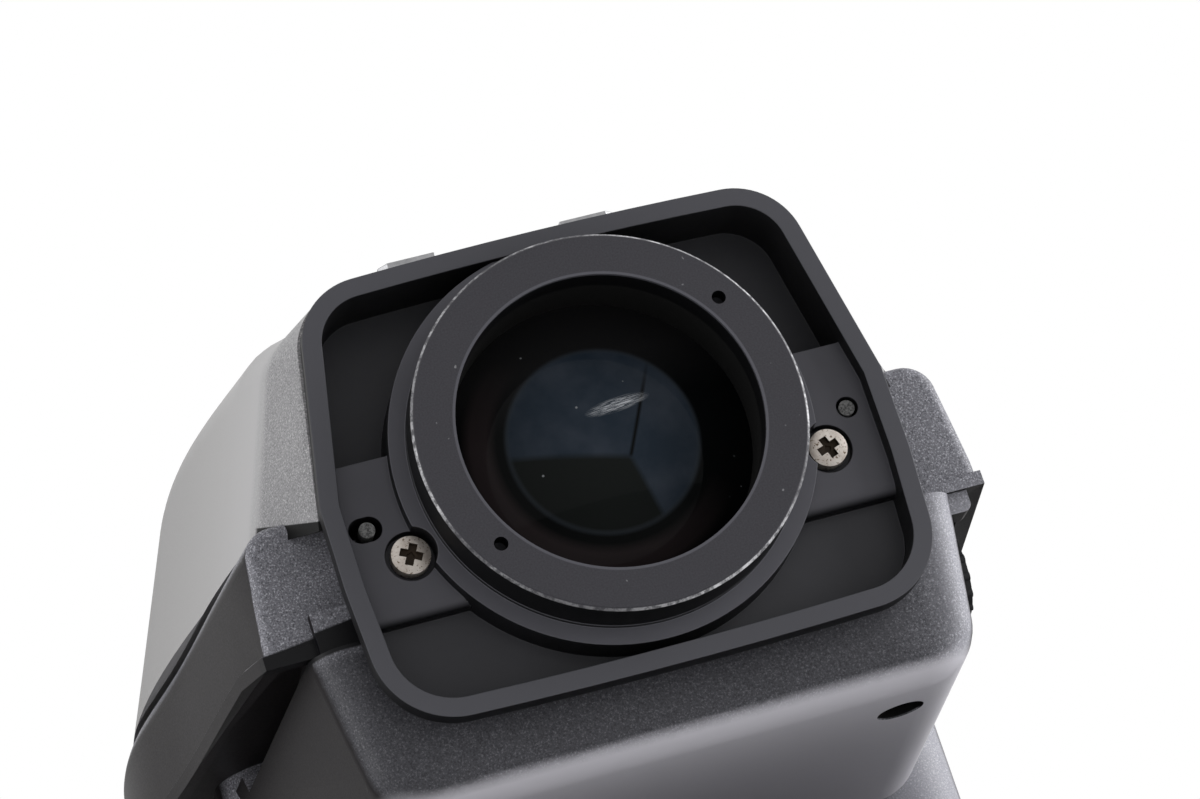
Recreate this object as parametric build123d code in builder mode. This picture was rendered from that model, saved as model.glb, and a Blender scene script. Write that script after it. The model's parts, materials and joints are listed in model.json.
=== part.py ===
from build123d import *
import os
from math import asin, cos, degrees, hypot, radians, sin, sqrt

# Medium format digital camera with a prism finder, in millimetres.
# The lens looks along -Y, the user stands at +Y, and the grip is on the -X side.
# The origin is the mouth of the tripod thread, on the base.

# Driving sizes of the whole camera
front_y = -46.0              # front face of the body
rear_y = 12.0                # rear face of the body, where the digital back sits
body_half = 48.0             # half the width of the body without its grip
body_bottom = 2.0            # underside of the body, on the base plate
deck_z = 88.0                # top of the body, under the finder
wall = 2.5                   # moulded walls of the body
lens_z = 46.0                # height of the lens axis
eye_y = 72.0                 # rear face of the eyepiece ring
eye_z = 126.0                # height of the eyepiece axis
frame_half_x = 28.5          # half the picture frame's width
frame_half_z = 21.5          # half the picture frame's height
overrun = 3.0                # how far a cut runs past what it cuts
fit = 0.1                    # clearance between pieces fixed to each other
running = 0.05               # radial clearance of a shaft in its hole
free_gap = 0.3               # clearance beside a piece that moves


def across(y):
    """A plane square to the lens axis at depth y: extrusions run towards the front."""
    return Plane.XZ.offset(-y)


def level(z):
    """A horizontal plane at height z."""
    return Plane.XY.offset(z)


def beside(x):
    """A plane square to X: its own axes are Y and Z."""
    return Plane.YZ.offset(x)


def block(x0, x1, y0, y1, z0, z1, mode=Mode.ADD):
    """A rectangular block between two corners, in the current part."""
    with Locations(((x0 + x1) / 2, (y0 + y1) / 2, (z0 + z1) / 2)):
        Box(x1 - x0, y1 - y0, z1 - z0, mode=mode)


def round_bar(plane, places, radius, length, mode=Mode.ADD):
    """Round bars of one radius that start on a plane and run along its normal."""
    with BuildSketch(plane, mode=Mode.PRIVATE) as ends:
        with Locations(*places):
            Circle(radius)
    extrude(ends.sketch, amount=length, mode=mode)


os.makedirs("parts", exist_ok=True)

# Sizes of the eyepiece group
ring_radius = 18.0
ring_bore = 14.0
ring_barrel = 4.5            # height of the ring over the frame's rim
ring_spigot = 16.2           # radius of the threaded spigot behind the ring
spigot_length = 4.0
ring_chamfer = 0.3
spanner_radius = 0.65
spanner_depth = 1.6
spanner_place_radius = 15.7
spanner_turn = -33.7
rim_y = eye_y - ring_barrel
rim_wall = 1.8
rim_flange = 2.0             # the rim stands this far proud of the cover
skirt_step = 1.0             # the skirt behind the flange is this much smaller
outline_half = 26.8          # the frame's greatest half-width
outline_top = 20.9
outline_bottom = 22.2
outline_bow = 0.6            # how far the top and bottom edges bulge
outline_top_half = 23.0
outline_low_half = 26.0
outline_top_corner = 6.5
outline_low_corner = 7.5
straight_low = 8.0           # the sides are widest from the axis down to here
frame_back_y = 59.8
strip_floor = 1.8            # depths of the frame's floors below its rim
strip_top = 3.9
strip_low = 11.5
pocket_floor = 6.5
lower_floor = 3.8
strip_round = 1.2
collar_radius = 19.6
collar_flat_top = 19.0
collar_flat_low = 19.7
collar_drop = 0.4
tube_radius = 15.3
tube_bore = 14.0
screw_x = 19.9
screw_drop = 5.8
screw_head = 1.8
screw_head_height = 1.6
screw_shank = 1.0
screw_length = 7.5
screw_sink = 2.9
counterbore = 2.3
pin_x = 22.95
pin_drop = 2.4
pin_radius = 0.75
pin_sink = 2.0
pin_hole = 1.0
pin_slot = 1.17
pin_slot_run = 0.35
wall_plate = 5.0             # thickness of the housing's wall behind the frame
wall_inset = 2.7


def frame_outline(grow=0.0):
    """The eyepiece frame's outline, with bowed top and bottom edges, to add to a sketch."""
    top = eye_z + outline_top
    low = eye_z - outline_bottom
    with BuildSketch(mode=Mode.PRIVATE) as outline:
        with BuildLine():
            ThreePointArc((outline_top_half, top - outline_bow), (0, top),
                          (-outline_top_half, top - outline_bow))
            Polyline((-outline_top_half, top - outline_bow), (-outline_half, eye_z),
                     (-outline_half, eye_z - straight_low), (-outline_low_half, low + outline_bow))
            ThreePointArc((-outline_low_half, low + outline_bow), (0, low),
                          (outline_low_half, low + outline_bow))
            Polyline((outline_low_half, low + outline_bow), (outline_half, eye_z - straight_low),
                     (outline_half, eye_z), (outline_top_half, top - outline_bow))
        make_face()
        corners = outline.vertices().sort_by(Axis.Y)
        fillet(corners[-2:], outline_top_corner)
        fillet(outline.vertices().sort_by(Axis.Y)[0:2], outline_low_corner)
        if grow:
            offset(amount=grow, mode=Mode.REPLACE)
    return outline.sketch_local


# Eyepiece ring, screwed into the frame with a two-pin spanner
with BuildPart() as eyepiece_ring:
    with BuildSketch(across(eye_y)):
        with Locations((0, eye_z)):
            Circle(ring_radius)
    extrude(amount=ring_barrel)
    chamfer(eyepiece_ring.edges(), ring_chamfer)
    with BuildSketch(across(rim_y)):
        with Locations((0, eye_z)):
            Circle(ring_spigot)
    extrude(amount=spigot_length)
    with BuildSketch(across(eye_y + overrun)):
        with Locations((0, eye_z)):
            Circle(ring_bore)
    extrude(amount=ring_barrel + spigot_length + overrun + overrun, mode=Mode.SUBTRACT)
    with BuildSketch(across(eye_y)):
        with Locations((0, eye_z)):
            with PolarLocations(spanner_place_radius, 2, start_angle=spanner_turn):
                Circle(spanner_radius)
    extrude(amount=spanner_depth, mode=Mode.SUBTRACT)
eyepiece_ring.part.label = "eyepiece_ring"
export_step(eyepiece_ring.part, "parts/eyepiece_ring.step")

# Eyepiece frame: a deep rimmed moulding with a raised strip for its screws and a round collar
strip_y = rim_y - strip_floor
screw_z = eye_z - screw_drop
pin_z = eye_z - pin_drop
with BuildPart() as eyepiece_frame:
    with BuildSketch(across(rim_y)):
        add(frame_outline())
    extrude(amount=rim_flange)
    with BuildSketch(across(rim_y - rim_flange)):
        add(frame_outline(-skirt_step))
    extrude(amount=rim_y - rim_flange - frame_back_y)
    with BuildSketch(across(rim_y)):
        add(frame_outline(-rim_wall))
    extrude(amount=strip_floor, mode=Mode.SUBTRACT)
    with BuildSketch(across(rim_y)):
        add(frame_outline(-rim_wall))
        with Locations((0, eye_z + strip_top)):
            Rectangle(2 * outline_half, outline_top, align=(Align.CENTER, Align.MIN), mode=Mode.INTERSECT)
    extrude(amount=pocket_floor, mode=Mode.SUBTRACT)
    with BuildSketch(across(rim_y)):
        add(frame_outline(-rim_wall))
        with Locations((0, eye_z - strip_low)):
            Rectangle(2 * outline_half, outline_bottom, align=(Align.CENTER, Align.MAX), mode=Mode.INTERSECT)
    extrude(amount=lower_floor, mode=Mode.SUBTRACT)
    strip_edges = eyepiece_frame.edges().filter_by(Axis.X).filter_by_position(
        Axis.Y, strip_y - running, strip_y + running).sort_by(Axis.Z)
    fillet(strip_edges[0:1], strip_round)
    with BuildSketch(across(rim_y - collar_drop)):
        with Locations((0, eye_z)):
            Circle(collar_radius)
        with Locations((0, eye_z + collar_flat_top)):
            Rectangle(2 * collar_radius, collar_radius, align=(Align.CENTER, Align.MIN), mode=Mode.SUBTRACT)
        with Locations((0, eye_z - collar_flat_low)):
            Rectangle(2 * collar_radius, collar_radius, align=(Align.CENTER, Align.MAX), mode=Mode.SUBTRACT)
    extrude(amount=rim_y - collar_drop - frame_back_y)
    with BuildSketch(across(rim_y)):
        with Locations((0, eye_z)):
            Circle(ring_radius)
    extrude(amount=collar_drop)
    with BuildSketch(across(rim_y + overrun)):
        with Locations((0, eye_z)):
            Circle(ring_spigot + running)
    extrude(amount=overrun + spigot_length + free_gap, mode=Mode.SUBTRACT)
    with BuildSketch(across(rim_y)):
        with Locations((0, eye_z)):
            Circle(tube_radius + fit)
    extrude(amount=rim_y - frame_back_y + overrun, mode=Mode.SUBTRACT)
    with BuildSketch(across(rim_y + overrun)):
        with Locations((-screw_x, screw_z), (screw_x, screw_z)):
            Circle(counterbore)
    extrude(amount=overrun + screw_sink, mode=Mode.SUBTRACT)
    with BuildSketch(across(rim_y)):
        with Locations((-screw_x, screw_z), (screw_x, screw_z)):
            Circle(screw_shank + fit)
        with Locations((-pin_x, pin_z)):
            Circle(pin_hole)
        with Locations((pin_x + pin_slot_run / 2, pin_z)):
            SlotCenterToCenter(2 * pin_slot_run, 2 * pin_slot)
    extrude(amount=rim_y - frame_back_y + overrun, mode=Mode.SUBTRACT)
eyepiece_frame.part.label = "eyepiece_frame"
export_step(eyepiece_frame.part, "parts/eyepiece_frame.step")

# Two pan head screws that hold the frame to the housing
head_seat_y = rim_y - screw_sink
with BuildPart() as frame_screws:
    round_bar(across(head_seat_y + screw_head_height),
              ((-screw_x, screw_z), (screw_x, screw_z)), screw_head, screw_head_height)
    round_bar(across(head_seat_y), ((-screw_x, screw_z), (screw_x, screw_z)), screw_shank, screw_length)
frame_screws.part.label = "frame_screws"
export_step(frame_screws.part, "parts/frame_screws.step")

# Eyepiece tube, a turned barrel behind the ring, with a seat for the eye lens
tube_rear_y = rim_y - spigot_length - 2 * fit
tube_front_y = 26.0
lens_seat = 14.6
lens_seat_depth = 4.4
with BuildPart() as eyepiece_tube:
    with BuildSketch(across(tube_rear_y)):
        with Locations((0, eye_z)):
            Circle(tube_radius)
            Circle(tube_bore, mode=Mode.SUBTRACT)
    extrude(amount=tube_rear_y - tube_front_y)
    with BuildSketch(across(tube_rear_y)):
        with Locations((0, eye_z)):
            Circle(lens_seat)
    extrude(amount=lens_seat_depth, mode=Mode.SUBTRACT)
eyepiece_tube.part.label = "eyepiece_tube"
export_step(eyepiece_tube.part, "parts/eyepiece_tube.step")

# Eye lens, convex towards the eye
eye_lens_radius = lens_seat - fit
eye_lens_edge = 2.6
eye_lens_sag = 1.4
eye_lens_y = tube_rear_y - lens_seat_depth
with BuildPart() as eye_lens:
    with BuildSketch(Plane((0, 0, eye_z), x_dir=(1, 0, 0), z_dir=(0, 0, 1))):
        with BuildLine():
            Polyline((0, eye_lens_y + eye_lens_edge + eye_lens_sag), (0, eye_lens_y),
                     (eye_lens_radius, eye_lens_y), (eye_lens_radius, eye_lens_y + eye_lens_edge))
            chord = hypot(eye_lens_radius, eye_lens_sag)
            RadiusArc((eye_lens_radius, eye_lens_y + eye_lens_edge),
                      (0, eye_lens_y + eye_lens_edge + eye_lens_sag), -chord * chord / (2 * eye_lens_sag))
        make_face()
    revolve(axis=Axis((0, 0, eye_z), (0, 1, 0)))
eye_lens.part.label = "eye_lens"
export_step(eye_lens.part, "parts/eye_lens.step")

# Sliding dioptre cell with the field lens in it
cell_radius = tube_bore - running
cell_bore = 12.0
cell_rear_y = 52.0
cell_length = 9.0
cell_lip = 1.0
field_lens_thick = 5.0
with BuildPart() as dioptre_cell:
    with BuildSketch(across(cell_rear_y)):
        with Locations((0, eye_z)):
            Circle(cell_radius)
            Circle(cell_bore - cell_lip, mode=Mode.SUBTRACT)
    extrude(amount=cell_length)
    with BuildSketch(across(cell_rear_y - cell_lip)):
        with Locations((0, eye_z)):
            Circle(cell_bore)
    extrude(amount=cell_length, mode=Mode.SUBTRACT)
dioptre_cell.part.label = "dioptre_cell"
export_step(dioptre_cell.part, "parts/dioptre_cell.step")

with BuildPart() as field_lens:
    round_bar(across(cell_rear_y - cell_lip), ((0, eye_z),), cell_bore - fit, field_lens_thick)
field_lens.part.label = "field_lens"
export_step(field_lens.part, "parts/field_lens.step")

# Sizes of the finder's housing and cover
foot_half = 36.0
foot_rear_y = 20.0
foot_corner = 6.0
foot_groove = 1.0
groove_rise = 5.0
belt_drop = 10.0             # the belt's lower and upper edges from the eyepiece axis
belt_rise = 2.0
foot_groove_z = deck_z + groove_rise
belt_low_z = eye_z - belt_drop
belt_top_z = eye_z + belt_rise
belt_rear_y = 60.5
belt_draft = 0.65            # how far the belt leans out at its lower edge and in at its upper
belt_half = 42.6
belt_rear_share = 0.79       # half-widths of the belt's ends, as shares of its greatest half-width
belt_front_share = 0.75
seam = 0.7                   # open seam between the belt and the cover
seam_z = belt_top_z + seam
block_rear_y = 63.5
block_drop = 28.5
block_low_z = eye_z - block_drop
block_rear_half = 31.2
block_rear_low_half = 28.0
block_front_half = 35.0
block_front_low_half = 31.5
block_corner = 6.0
block_round = 3.4
cavity_half = 27.0
cavity_crest_half = 13.5
cavity_front_y = -35.0
cavity_rear_y = 36.0
cavity_top_z = 147.9
cavity_flat = 38.0           # level part of the cavity's ceiling, before it falls to the front
cavity_nose = 4.5
cavity_floor_z = block_low_z + wall
cover_length = 109.0
cover_half = 40.5
cover_skirt = 0.9            # the cover reaches this far down over the belt's shoulders
cover_height = 27.4          # top of the cover over the eyepiece axis
cover_rear_y = rim_y - rim_flange
knob_y = 50.0
knob_drop = 16.0
knob_z = eye_z - knob_drop
knob_radius = 5.4
knob_inner_x = 30.6
knob_outer_x = 33.4
knob_shaft = 1.5
knob_shaft_length = 4.0
knob_ribs = 16
knob_rib_radius = 0.55
under_hole_x = 21.5
under_hole_y = 54.5
under_hole_radius = 2.25
under_hole_depth = 6.0

# Half-widths of the belt at a few depths, as shares of its greatest half-width and of its length
belt_side_shares = ((0.854, 0.17), (0.925, 0.36), (0.985, 0.49), (1.0, 0.66), (0.93, 0.84))
belt_shoulder = 3.0          # rounded upper edge of the belt
belt_corner = 1.2            # rounded rear corners of its ears
lip_height = 1.35            # the belt ends below in a lip that stands a little proud
lip_proud = 0.25
lip_width = 1.1
under_recess = 1.6           # recess inside the lip, and gap between the belt and the rear block
boss_outer_x = 32.8
boss_inner_x = 29.5
boss_front_y = 57.5
boss_drop = 3.3
boss_round = 0.8


def belt_outline(grow, back=0.0):
    """The belt's plan: narrow ears at the rear, widest over the prism, narrower at the front."""
    length = belt_rear_y - front_y
    rear_end = belt_rear_y + back
    rear = belt_half * belt_rear_share + grow
    nose = belt_half * belt_front_share + grow
    side = [(rear, rear_end)]
    side += [(belt_half * wide + grow, belt_rear_y - length * back) for wide, back in belt_side_shares]
    side += [(nose, front_y)]
    with BuildSketch(mode=Mode.PRIVATE) as plan:
        with BuildLine():
            Spline(*side)
            Line(side[-1], (-nose, front_y))
            Spline(*[(-x, y) for x, y in side])
            Line((-rear, rear_end), side[0])
        make_face()
    return plan.sketch_local


# The flared belt, which the cover follows with a seam between them
with BuildPart() as belt_body:
    with BuildSketch(level(belt_low_z)):
        add(belt_outline(belt_draft))
    with BuildSketch(level(belt_top_z)):
        add(belt_outline(-belt_draft))
    loft(ruled=True)
    fillet(belt_body.edges().group_by(Axis.Z)[-1].sort_by(Axis.X)[0:1], belt_shoulder)
    fillet(belt_body.edges().group_by(Axis.Z)[-1].sort_by(Axis.X)[-1:], belt_shoulder)
    ear_corners = belt_body.faces().sort_by(Axis.Y)[-1].edges().filter_by(
        lambda edge: abs(edge.center().X) > outline_half)
    fillet(ear_corners, belt_corner)

# Finder housing: foot, rear block, belt with its two ears, and the wall behind the eyepiece
with BuildPart() as finder_housing:
    with BuildSketch(across(block_rear_y)) as rear_face:
        with BuildLine():
            Polyline((-block_rear_half, belt_low_z + wall), (block_rear_half, belt_low_z + wall),
                     (block_rear_low_half, block_low_z), (-block_rear_low_half, block_low_z), close=True)
        make_face()
        fillet(rear_face.vertices().group_by(Axis.Y)[0], block_corner)
    with BuildSketch(across(foot_rear_y - overrun)) as front_face:
        with BuildLine():
            Polyline((-block_front_half, belt_low_z + wall), (block_front_half, belt_low_z + wall),
                     (block_front_low_half, block_low_z), (-block_front_low_half, block_low_z), close=True)
        make_face()
        fillet(front_face.vertices().group_by(Axis.Y)[0], block_corner)
    loft(ruled=True)
    rear_edges = finder_housing.edges().group_by(Axis.Y)[-1].sort_by(Axis.Z)
    fillet(rear_edges[:-1], block_round)
    # gap between the belt and the rear block
    gap_outer = block_front_half + overrun
    for inner, front in ((block_rear_half - under_recess, foot_rear_y + wall),
                         (outline_half - wall, block_rear_y - under_recess)):
        for x0, x1 in ((-gap_outer, -inner), (inner, gap_outer)):
            block(x0, x1, front, block_rear_y + overrun, belt_low_z - under_recess,
                  belt_low_z + wall + overrun, Mode.SUBTRACT)
    add(belt_body.part)
    with BuildSketch(level(belt_low_z)):
        add(belt_outline(belt_draft + lip_proud, lip_proud))
    extrude(amount=lip_height)
    with BuildSketch(level(belt_low_z)):
        add(belt_outline(belt_draft - lip_width, -lip_width))
        with Locations((0, (belt_rear_y + front_y) / 2)):
            Rectangle(2 * boss_inner_x, belt_rear_y - front_y, mode=Mode.SUBTRACT)
    extrude(amount=under_recess, mode=Mode.SUBTRACT)
    with BuildSketch(across(belt_rear_y - lip_proud)) as boss:
        with Locations((-boss_outer_x, belt_low_z - boss_drop)):
            Rectangle(boss_outer_x - boss_inner_x, boss_drop + under_recess + fit,
                      align=(Align.MIN, Align.MIN))
        fillet(boss.vertices().group_by(Axis.Y)[0], boss_round)
    extrude(amount=belt_rear_y - lip_proud - boss_front_y)
    with BuildSketch(level(deck_z)) as foot:
        with Locations((0, (front_y + foot_rear_y) / 2)):
            Rectangle(2 * foot_half, foot_rear_y - front_y)
        fillet(foot.vertices(), foot_corner)
    extrude(amount=belt_low_z - deck_z + wall)
    # groove round the foot
    with BuildSketch(level(foot_groove_z)) as groove:
        with Locations((0, (front_y + foot_rear_y) / 2)):
            Rectangle(2 * foot_half + wall, foot_rear_y - front_y + wall)
            Rectangle(2 * (foot_half - foot_groove), foot_rear_y - front_y - 2 * foot_groove,
                      mode=Mode.SUBTRACT)
    extrude(amount=foot_groove, mode=Mode.SUBTRACT)
    # lip that the cover stands on
    block(-cavity_half - wall, cavity_half + wall, cavity_front_y - wall, cavity_rear_y, belt_top_z, seam_z)
    # wall behind the eyepiece frame
    with BuildSketch(across(frame_back_y)):
        add(frame_outline(-wall_inset))
    extrude(amount=wall_plate)
    # room for the prism, open to the focusing screen below
    block(-cavity_half, cavity_half, cavity_front_y, foot_rear_y - wall, deck_z - overrun,
          seam_z + overrun, Mode.SUBTRACT)
    block(-cavity_half, cavity_half, foot_rear_y - wall - overrun, cavity_rear_y, cavity_floor_z,
          seam_z + overrun, Mode.SUBTRACT)
    # seat of the eyepiece frame and the bore of its tube
    with BuildSketch(across(rim_y)):
        add(frame_outline(fit - skirt_step))
    extrude(amount=rim_y - frame_back_y, mode=Mode.SUBTRACT)
    round_bar(across(rim_y), ((0, eye_z),), tube_radius + fit, rim_y - cavity_rear_y + overrun, Mode.SUBTRACT)
    # screw holes and locating pins
    round_bar(across(rim_y), ((-screw_x, screw_z), (screw_x, screw_z)), screw_shank,
              rim_y - head_seat_y + screw_length + fit, Mode.SUBTRACT)
    round_bar(across(rim_y - pin_sink), ((-pin_x, pin_z), (pin_x, pin_z)), pin_radius,
              rim_y - pin_sink - frame_back_y)
    # recess of the dioptre knob
    block(-knob_outer_x - wall, -knob_inner_x + free_gap, knob_y - knob_radius - 2 * free_gap,
          knob_y + knob_radius + 2 * free_gap, knob_z - knob_radius - 2 * free_gap, belt_low_z, Mode.SUBTRACT)
    round_bar(beside(-knob_inner_x - wall), ((knob_y, knob_z),), knob_shaft + running,
              knob_shaft_length + 2 * wall, Mode.SUBTRACT)
    # deep holes for the screws under the overhang
    round_bar(level(block_low_z - overrun), ((-under_hole_x, under_hole_y), (under_hole_x, under_hole_y)),
              under_hole_radius, overrun + under_hole_depth, Mode.SUBTRACT)
finder_housing.part.label = "finder_housing"
export_step(finder_housing.part, "parts/finder_housing.step")

# Screws at the bottom of the two holes under the overhang
under_head = 1.9
under_head_height = 1.2
with BuildPart() as housing_screws:
    round_bar(level(block_low_z + under_hole_depth - under_head_height),
              ((-under_hole_x, under_hole_y), (under_hole_x, under_hole_y)), under_head, under_head_height)
housing_screws.part.label = "housing_screws"
export_step(housing_screws.part, "parts/housing_screws.step")

# Dioptre knob, ribbed, on a short shaft
with BuildPart() as dioptre_knob:
    with BuildSketch(beside(-knob_outer_x)):
        with Locations((knob_y, knob_z)):
            Circle(knob_radius - knob_rib_radius / 2)
            with PolarLocations(knob_radius - knob_rib_radius, knob_ribs):
                Circle(knob_rib_radius)
    extrude(amount=knob_outer_x - knob_inner_x)
    round_bar(beside(-knob_inner_x), ((knob_y, knob_z),), knob_shaft, knob_shaft_length)
dioptre_knob.part.label = "dioptre_knob"
export_step(dioptre_knob.part, "parts/dioptre_knob.step")

# Hot shoe sizes, to the usual accessory shoe
shoe_slot_half = 9.35
shoe_wall = 2.5
shoe_gap_half = 6.25
shoe_base = 0.9
shoe_slot_height = 2.1
shoe_lip = 1.2
shoe_rear_y = 51.7
shoe_length = 19.5
shoe_rise = 27.2
shoe_top_z = eye_z + shoe_rise
shoe_low_z = shoe_top_z - shoe_lip - shoe_slot_height - shoe_base
shoe_half = shoe_slot_half + shoe_wall

# Sections of the cover: share of its length, lower and upper half-widths as shares of the greatest
# half-width, height share and corner share of the greatest height
cover_shares = (
    (0.0, 0.669, 0.57, 0.756, 0.24),
    (0.1055, 0.788, 0.605, 0.869, 0.26),
    (0.215, 0.862, 0.674, 0.888, 0.29),
    (0.49, 1.0, 0.75, 1.0, 0.36),
    (0.73, 0.985, 0.715, 0.955, 0.36),
    (1.0, 0.745, 0.6, 0.46, 0.25),
)


def cover_section(along, lower, upper, height, corner):
    """One section of the cover, with rounded upper corners, to add to a sketch."""
    low_z = seam_z - cover_skirt
    top_z = eye_z + cover_height * height
    with BuildSketch(mode=Mode.PRIVATE) as section:
        with BuildLine():
            Polyline((-cover_half * lower, low_z), (-cover_half * upper, top_z), (cover_half * upper, top_z),
                     (cover_half * lower, low_z), close=True)
        make_face()
        fillet(section.vertices().group_by(Axis.Y)[-1], cover_height * corner)
    return section.sketch_local


# Finder cover: a neck behind the eyepiece frame, then a lofted shell that swells over the prism
# and falls to the front
with BuildPart() as finder_cover:
    with BuildSketch(across(cover_rear_y)):
        add(cover_section(*cover_shares[0]))
    with BuildSketch(across(cover_rear_y - cover_length * cover_shares[1][0])):
        add(cover_section(*cover_shares[1]))
    loft(ruled=True)
    for shares in cover_shares[1:]:
        with BuildSketch(across(cover_rear_y - cover_length * shares[0])):
            add(cover_section(*shares))
    loft()
    add(belt_body.part.moved(Location((0, 0, seam))), mode=Mode.SUBTRACT)
    # room for the prism, the tube, the eyepiece frame and the wall behind it
    for half, top in ((cavity_half, cavity_top_z - wall), (cavity_crest_half, cavity_top_z)):
        with BuildSketch(beside(-half)):
            with BuildLine():
                Polyline((cavity_rear_y, seam_z - overrun), (cavity_rear_y, top),
                         (cavity_rear_y - cavity_flat, top), (cavity_front_y, seam_z + cavity_nose),
                         (cavity_front_y, seam_z - overrun), close=True)
            make_face()
        extrude(amount=2 * half, mode=Mode.SUBTRACT)
    with BuildSketch(across(cover_rear_y + overrun)):
        add(frame_outline(fit - skirt_step))
    extrude(amount=cover_rear_y + overrun - frame_back_y, mode=Mode.SUBTRACT)
    with BuildSketch(across(frame_back_y)):
        add(frame_outline(fit - wall_inset))
    extrude(amount=wall_plate + fit, mode=Mode.SUBTRACT)
    round_bar(across(frame_back_y), ((0, eye_z),), tube_radius + fit, frame_back_y - cavity_rear_y + overrun,
              Mode.SUBTRACT)
    # flat bed of the hot shoe
    block(-shoe_half - fit, shoe_half + fit, shoe_rear_y - shoe_length - fit, cover_rear_y, shoe_low_z,
          shoe_top_z + overrun, Mode.SUBTRACT)
finder_cover.part.label = "finder_cover"
export_step(finder_cover.part, "parts/finder_cover.step")

# Hot shoe: a folded steel channel, open to the rear
stop_length = 2.0
with BuildPart() as hot_shoe:
    block(-shoe_half, shoe_half, shoe_rear_y - shoe_length, shoe_rear_y, shoe_low_z, shoe_top_z)
    block(-shoe_slot_half, shoe_slot_half, shoe_rear_y - shoe_length + stop_length, shoe_rear_y + overrun,
          shoe_low_z + shoe_base, shoe_top_z - shoe_lip, Mode.SUBTRACT)
    block(-shoe_gap_half, shoe_gap_half, shoe_rear_y - shoe_length + stop_length, shoe_rear_y + overrun,
          shoe_low_z + shoe_base, shoe_top_z + overrun, Mode.SUBTRACT)
    lead_edges = hot_shoe.edges().filter_by(Axis.Z).group_by(Axis.Y)[-1].group_by(Axis.X)
    chamfer(lead_edges[0] + lead_edges[-1], shoe_base)
hot_shoe.part.label = "hot_shoe"
export_step(hot_shoe.part, "parts/hot_shoe.step")

# Contacts of the hot shoe: one large centre contact and three small ones
centre_contact = 2.2
small_contact = 0.8
contact_height = 0.25
shoe_middle_y = shoe_rear_y - shoe_length / 2
with BuildPart() as shoe_contacts:
    round_bar(level(shoe_low_z + shoe_base), ((0, shoe_middle_y),), centre_contact, contact_height)
    round_bar(level(shoe_low_z + shoe_base),
              [(step * 2 * centre_contact, shoe_middle_y - 2 * centre_contact) for step in (-1, 0, 1)],
              small_contact, contact_height)
shoe_contacts.part.label = "shoe_contacts"
export_step(shoe_contacts.part, "parts/shoe_contacts.step")

# Pentaprism: a five-sided block of glass under a roof
prism_rise = 12.5
prism_low_z = deck_z + prism_rise
prism_rear_y = 20.0
prism_base = 40.0
prism_exit = 37.5
prism_half = 24.5
prism_tilt = 22.5
roof_run = 21.5
roof_rise = prism_exit
front_rise_share = 0.82
front_rise = front_rise_share * prism_exit
crest = (prism_rear_y - roof_run * cos(radians(prism_tilt)),
         prism_low_z + prism_exit + roof_run * sin(radians(prism_tilt)))
ridge_dir = (0, -cos(radians(prism_tilt)), sin(radians(prism_tilt)))
with BuildPart() as pentaprism:
    with BuildSketch(beside(-prism_half)):
        with BuildLine():
            Polyline((prism_rear_y, prism_low_z), (prism_rear_y, prism_low_z + prism_exit), crest,
                     (prism_rear_y - prism_base - front_rise * sin(radians(prism_tilt)),
                      prism_low_z + front_rise),
                     (prism_rear_y - prism_base, prism_low_z), close=True)
        make_face()
    extrude(amount=2 * prism_half)
    with BuildSketch(Plane((0, prism_rear_y, prism_low_z + prism_exit), x_dir=(1, 0, 0), z_dir=ridge_dir)):
        with BuildLine():
            Polyline((0, 0), (-roof_rise, -roof_rise), (-roof_rise, -3 * roof_rise),
                     (roof_rise, -3 * roof_rise), (roof_rise, -roof_rise), close=True)
        make_face()
    extrude(amount=2 * prism_base, both=True, mode=Mode.INTERSECT)
pentaprism.part.label = "pentaprism"
export_step(pentaprism.part, "parts/pentaprism.step")

# Seat that carries the prism over the screen, a shallow frame that spans the housing
seat_window = 21.0
seat_step = 2.0
with BuildPart() as prism_seat:
    block(-cavity_half + fit, cavity_half - fit, prism_rear_y - prism_base - seat_step,
          foot_rear_y - wall - fit, prism_low_z - seat_step, prism_low_z)
    block(-seat_window, seat_window, prism_rear_y - prism_base + seat_step,
          prism_rear_y - 2 * wall - seat_step, prism_low_z - seat_step - overrun, prism_low_z + overrun,
          Mode.SUBTRACT)
prism_seat.part.label = "prism_seat"
export_step(prism_seat.part, "parts/prism_seat.step")

# Sizes of the mirror box and the shutter
box_side = 2.5               # how far the box is wider than the picture frame on each side
box_half = frame_half_x + box_side
box_inner_half = frame_half_x + free_gap
box_rear_y = 7.7
box_front_y = front_y + wall
box_wall = 2.0
box_low_z = 20.0
box_top_z = 84.0
box_inner_low = 22.0
box_inner_top = 78.5
screen_low_z = 80.3
screen_thick = 1.6
screen_lap = 1.0
screen_half = frame_half_x + screen_lap
screen_rear_y = 2.0
mount_margin = 12.0          # from the edge of the lens mount to the side of the body
mount_rim = 5.5
mount_radius = body_half - mount_margin
throat_radius = mount_radius - mount_rim
mirror_hinge_y = 3.4
mirror_hinge_z = 72.0
mirror_length = 45.5
mirror_inset = 1.5
mirror_half = frame_half_x - mirror_inset
mirror_pin_radius = 1.0
mirror_barrel = 2.0
mirror_thick = 1.2
mirror_angle = 45.0

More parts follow.
